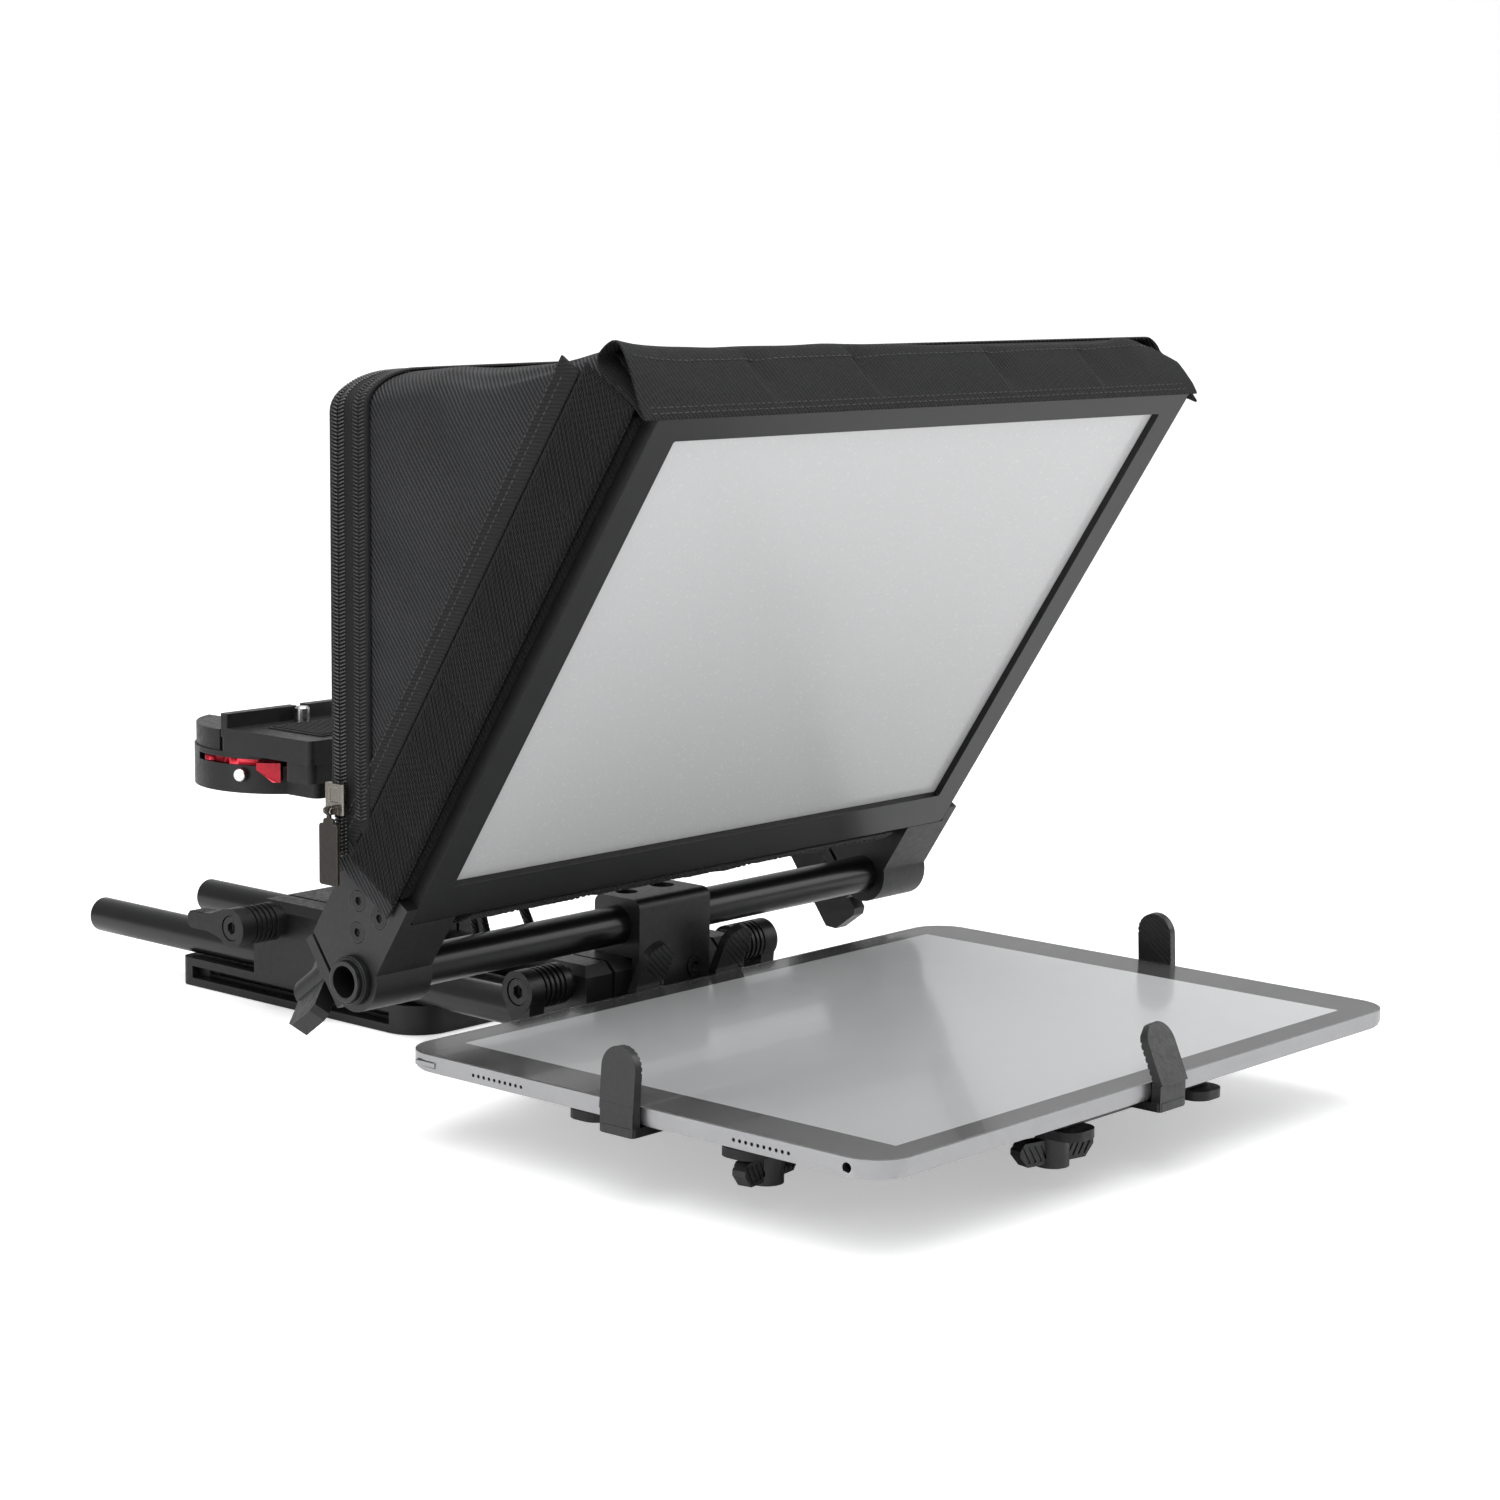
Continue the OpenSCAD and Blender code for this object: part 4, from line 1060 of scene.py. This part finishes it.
def build_top_flap():
    xs = stations(-HOOD_X - 0.5, 153.6, FLAP_STEPS)
    path = [(tube_point(x, FLAP_Y, FLAP_Z), FLAP_UP, FLAP_OUT) for x in xs]
    rings = [flap_section(x) for x in xs]
    verts, faces = sweep(path, rings, caps=False)
    # the creases run slanted: the front shifts along x with height on the band
    count = len(rings[0])
    for i, ring in enumerate(rings):
        x = path[i][0].x / MM
        near = math.exp(-(min(abs(x - pleat[0]) for pleat in PLEATS) / 14) ** 2)
        for k in range(2, 10):
            verts[i * count + k] += Vector((-0.30 * (ring[k][0] - 15) * MM * near, 0, 0))
    ob = make("top_flap", (verts, faces), "flap")
    turn_outward(ob, Vector((0, 0, 1)))
    solidify(ob, 0.7, offset=-1.0)
    subdivide(ob)
    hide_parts("hood_top_flap")

    rows = []
    for up in (2.4, 4.6, 22.0):
        points = []
        for i in range(4, FLAP_STEPS - 3, 2):
            ring = rings[i]
            k = max(q for q in range(8) if ring[q][0] <= up)
            (up0, out0), (up1, out1) = ring[k], ring[k + 1]
            out = out0 + (out1 - out0) * ((up - up0) / max(up1 - up0, 1e-6))
            points.append(path[i][0] + FLAP_UP * (up * MM) + FLAP_OUT * ((out + 0.02) * MM))
        rows.append(stitch_row(points, [FLAP_OUT] * len(points), length=2.0, pitch=3.0,
                               half_width=0.30, half_height=0.32))
    make("top_flap_stitches", join_parts(rows), "thread")


def build_top_hem():
    """Joins the front edge of the hood's top to the back of the flap."""
    steps = 120
    hood_tree = BVHTree.FromPolygons([v.co.copy() for v in hood.data.vertices],
                                     [tuple(p.vertices) for p in hood.data.polygons])
    verts = []
    for x in stations(-151.0, 140.0, steps):
        top = max(up for up, _ in flap_section(x))
        edge = tube_point(x, *TOP_FRONT)
        for behind in (9.0, 5.0, 1.2):
            point = edge + Vector((0, behind * MM, 0))
            hit = hood_tree.ray_cast(point + Vector((0, 0, 25 * MM)), Vector((0, 0, -1)),
                                     50 * MM)[0]
            # where the ray misses the hood, assume a gentle fall to the rear
            z = hit.z if hit is not None else point.z - 0.2 * behind * MM
            verts.append(Vector((point.x, point.y, z - 1.1 * MM)))
        for share in (0.94, 0.82, 0.66):
            verts.append(tube_point(x, FLAP_Y, FLAP_Z) + FLAP_UP * (top * share * MM)
                         + FLAP_OUT * (0.2 * MM))
    ob = make("top_hem", (verts, grid_faces(steps + 1, 6)), "flap")
    solidify(ob, 0.7, offset=0.0)


def build_strip_end():
    """Small proud end of a strip at the right of the flap."""
    section = [(-4.6, -0.5), (4.0, -0.5), (4.2, 0.0), (4.0, 0.5), (0, 0.75), (-4.6, 0.5),
               (-4.8, 0.0)]
    path = [(tube_point(150.0 + 6.0 * share, FLAP_Y + 5.0, FLAP_Z + 2.4 - 1.6 * share),
             FLAP_UP, FLAP_OUT) for share in stations(0, 1, 8)]
    geometry = sweep(path, [section] * len(path))
    make("flap_strip_end", geometry, "hook_tape")


build_top_flap()
build_top_hem()
build_strip_end()

# ---------- bottom flap ----------
# y, z from the front edge to the rear edge
BOTTOM_SECTION = [
    (-23.2, 21.9), (-19.5, 19.8), (-14.9, 18.0), (-10.5, 17.8), (-6.2, 18.4), (-2.0, 20.2),
    (1.0, 22.2), (3.8, 25.0), (5.9, 28.3), (6.8, 31.0), (7.1, 33.8),
]


def build_bottom_flap():
    half_width, steps = 120, 120
    count = len(BOTTOM_SECTION)
    verts = []
    for x in stations(-half_width, half_width, steps):
        for k, (y, z) in enumerate(BOTTOM_SECTION):
            share = k / (count - 1)
            slack = math.sin(math.pi * share)
            ripple = (0.8 * smooth_noise(x / 16.0 + share * 1.3, 21) * slack
                      + 0.35 * smooth_noise(x / 6.0 - share, 33) * slack)
            verts.append(tube_point(x, y + 0.4 * ripple, z + ripple))
    ob = make("bottom_flap", (verts, grid_faces(steps + 1, count)), "lower")
    solidify(ob, 1.3, offset=0.0)
    subdivide(ob)
    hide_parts("hood_bottom_flap")

    outward = Vector((0, -0.45, -0.9)).normalized()
    points = [verts[i * count + 1] + outward * (0.7 * MM) for i in range(2, steps - 1)]
    make("bottom_flap_stitches", stitch_row(points, [outward] * len(points)), "thread")


build_bottom_flap()

# ---------- draw cords ----------
# top end, bottom end, radius, direction of the bend
CORDS = [
    ((-94, 10.2, 33), (-82, 11.5, -3), 1.35, 1),
    ((-86.5, 10.2, 33), (-76, 11.5, -3), 1.35, -1),
    ((-73, 10.6, 33), (-52, 12.2, -3), 1.9, 1),
]


def cord_ring(i, share, radius):
    """Braided section with a knot near the lower end and narrowed tips."""
    knot = 1 + 0.35 * math.exp(-((share - 0.93) / 0.03) ** 2)
    tip = min(1.0, 0.55 + (1 - share) * 30, 0.55 + share * 30)
    ring = []
    for q in range(16):
        angle = 2 * math.pi * q / 16
        braid = 1 + 0.07 * math.sin(4 * angle + i * 1.25) * math.cos(4 * angle - i * 1.25)
        size = radius * knot * tip * braid
        ring.append((size * math.cos(angle), size * math.sin(angle)))
    return ring


def build_cords():
    shares = stations(0, 1, 60)
    parts = []
    for top, bottom, radius, bend in CORDS:
        start, end = Vector(top), Vector(bottom)
        along = (end - start).normalized()
        aside = along.cross(REARWARD).normalized()
        outward = aside.cross(along).normalized()
        path = []
        for share in shares:
            centre = start.lerp(end, share) + aside * (math.sin(math.pi * share) * 0.7 * bend)
            path.append((tube_point(*centre), aside, outward))
        rings = [cord_ring(i, share, radius) for i, share in enumerate(shares)]
        parts.append(sweep(path, rings))
    ob = make("draw_cord_ends", join_parts(parts), "cord")
    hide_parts("draw_cords")


build_cords()


# ---------- stage, in metres ----------
def build_floor():
    """Pale sheet that curves up into a wall behind the object."""
    wall_start, curve, half_width = 1.6, 0.9, 14.0
    profile = [(-4.0, 0.0), (wall_start, 0.0)]
    profile += [(wall_start + curve * math.sin(angle), curve - curve * math.cos(angle))
                for angle in np.linspace(0.1, math.pi / 2, 14)]
    profile.append((wall_start + curve, 4.0))
    away = Vector((0.65, 0.76, 0)).normalized()
    aside = Vector((away.y, -away.x, 0))
    verts = [away * distance + aside * width + Vector((0, 0, z - 0.0003))
             for distance, z in profile for width in (-half_width, half_width)]
    mesh = bpy.data.meshes.new("floor")
    mesh.from_pydata([tuple(v) for v in verts], [], grid_faces(len(profile), 2))
    mesh.update()
    shade_smooth(mesh)
    ob = bpy.data.objects.new("floor", mesh)
    scene.collection.objects.link(ob)

    surf = Surface("pale_floor")
    colour = surf.mix(surf.noise(3.0), (0.84, 0.84, 0.85), (0.88, 0.88, 0.88))
    seen = surf.add("LightPath").outputs["Is Camera Ray"]
    mesh.materials.append(surf.finish({
        "Base Color": colour,
        "Emission Color": (1, 1, 1),
        "Emission Strength": surf.calc("MULTIPLY", seen, 0.42),  # glows to the camera only
        "Roughness": 0.55,
    }))


def build_world():
    """Nearly white surroundings, brighter to the camera than as a light."""
    light_strength, camera_extra = 0.36, 0.70
    world = bpy.data.worlds.new("studio")
    scene.world = world
    scene.view_settings.view_transform = "Standard"
    world.use_nodes = True
    graph = Graph(world.node_tree)
    seen = graph.add("LightPath").outputs["Is Camera Ray"]
    strength = graph.calc("MULTIPLY_ADD", seen, camera_extra, light_strength)
    graph.fill(world.node_tree.nodes["Background"], {0: (0.98, 0.99, 1.0), 1: strength})


def add_light(name, place, aim, size, power):
    """Rectangular area light turned towards its aim."""
    light = bpy.data.lights.new(name, "AREA")
    light.shape = "RECTANGLE"
    light.size, light.size_y = size
    light.energy = power
    ob = bpy.data.objects.new(name, light)
    scene.collection.objects.link(ob)
    ob.location = place
    ob.rotation_euler = (Vector(aim) - Vector(place)).to_track_quat("-Z", "Y").to_euler()


def add_camera():
    place = Vector((-0.94178, -1.04796, 0.32247))
    azimuth, elevation, roll = (math.radians(angle) for angle in (-43.13, 17.97, -0.61))
    # tangents of the turn from that direction, to the right and up
    turn_right, turn_up = 0.09409690, 0.16273763
    forward = -Vector((math.sin(azimuth) * math.cos(elevation),
                       -math.cos(azimuth) * math.cos(elevation), math.sin(elevation)))
    right = forward.cross(Vector((0, 0, 1))).normalized()
    up = right.cross(forward)
    cos_roll, sin_roll = math.cos(roll), math.sin(roll)
    right, up = cos_roll * right + sin_roll * up, -sin_roll * right + cos_roll * up
    aim = (forward + right * turn_right + up * turn_up).normalized()
    untouched = Matrix((right, up, -forward)).transposed()
    rotation = forward.rotation_difference(aim).to_matrix() @ untouched
    camera = bpy.data.cameras.new("camera")
    camera.sensor_width = 36.0
    camera.lens = 81.0
    camera.clip_start = 0.05
    ob = bpy.data.objects.new("camera", camera)
    scene.collection.objects.link(ob)
    ob.matrix_world = Matrix.Translation(place) @ rotation.to_4x4()
    scene.camera = ob


build_floor()
build_world()
add_light("key", place=(-1.1, -0.9, 1.5), aim=(0, -0.2, 0.15), size=(1.2, 1.2), power=25)
add_light("top", place=(0.2, 0.1, 1.9), aim=(0, -0.2, 0.1), size=(1.8, 1.4), power=30)
add_light("fill", place=(1.5, -1.1, 0.9), aim=(0, -0.2, 0.1), size=(1.2, 1.2), power=9)
add_light("low", place=(-1.2, 0.2, 0.35), aim=(0, -0.1, 0.12), size=(0.5, 0.9), power=4)
add_camera()
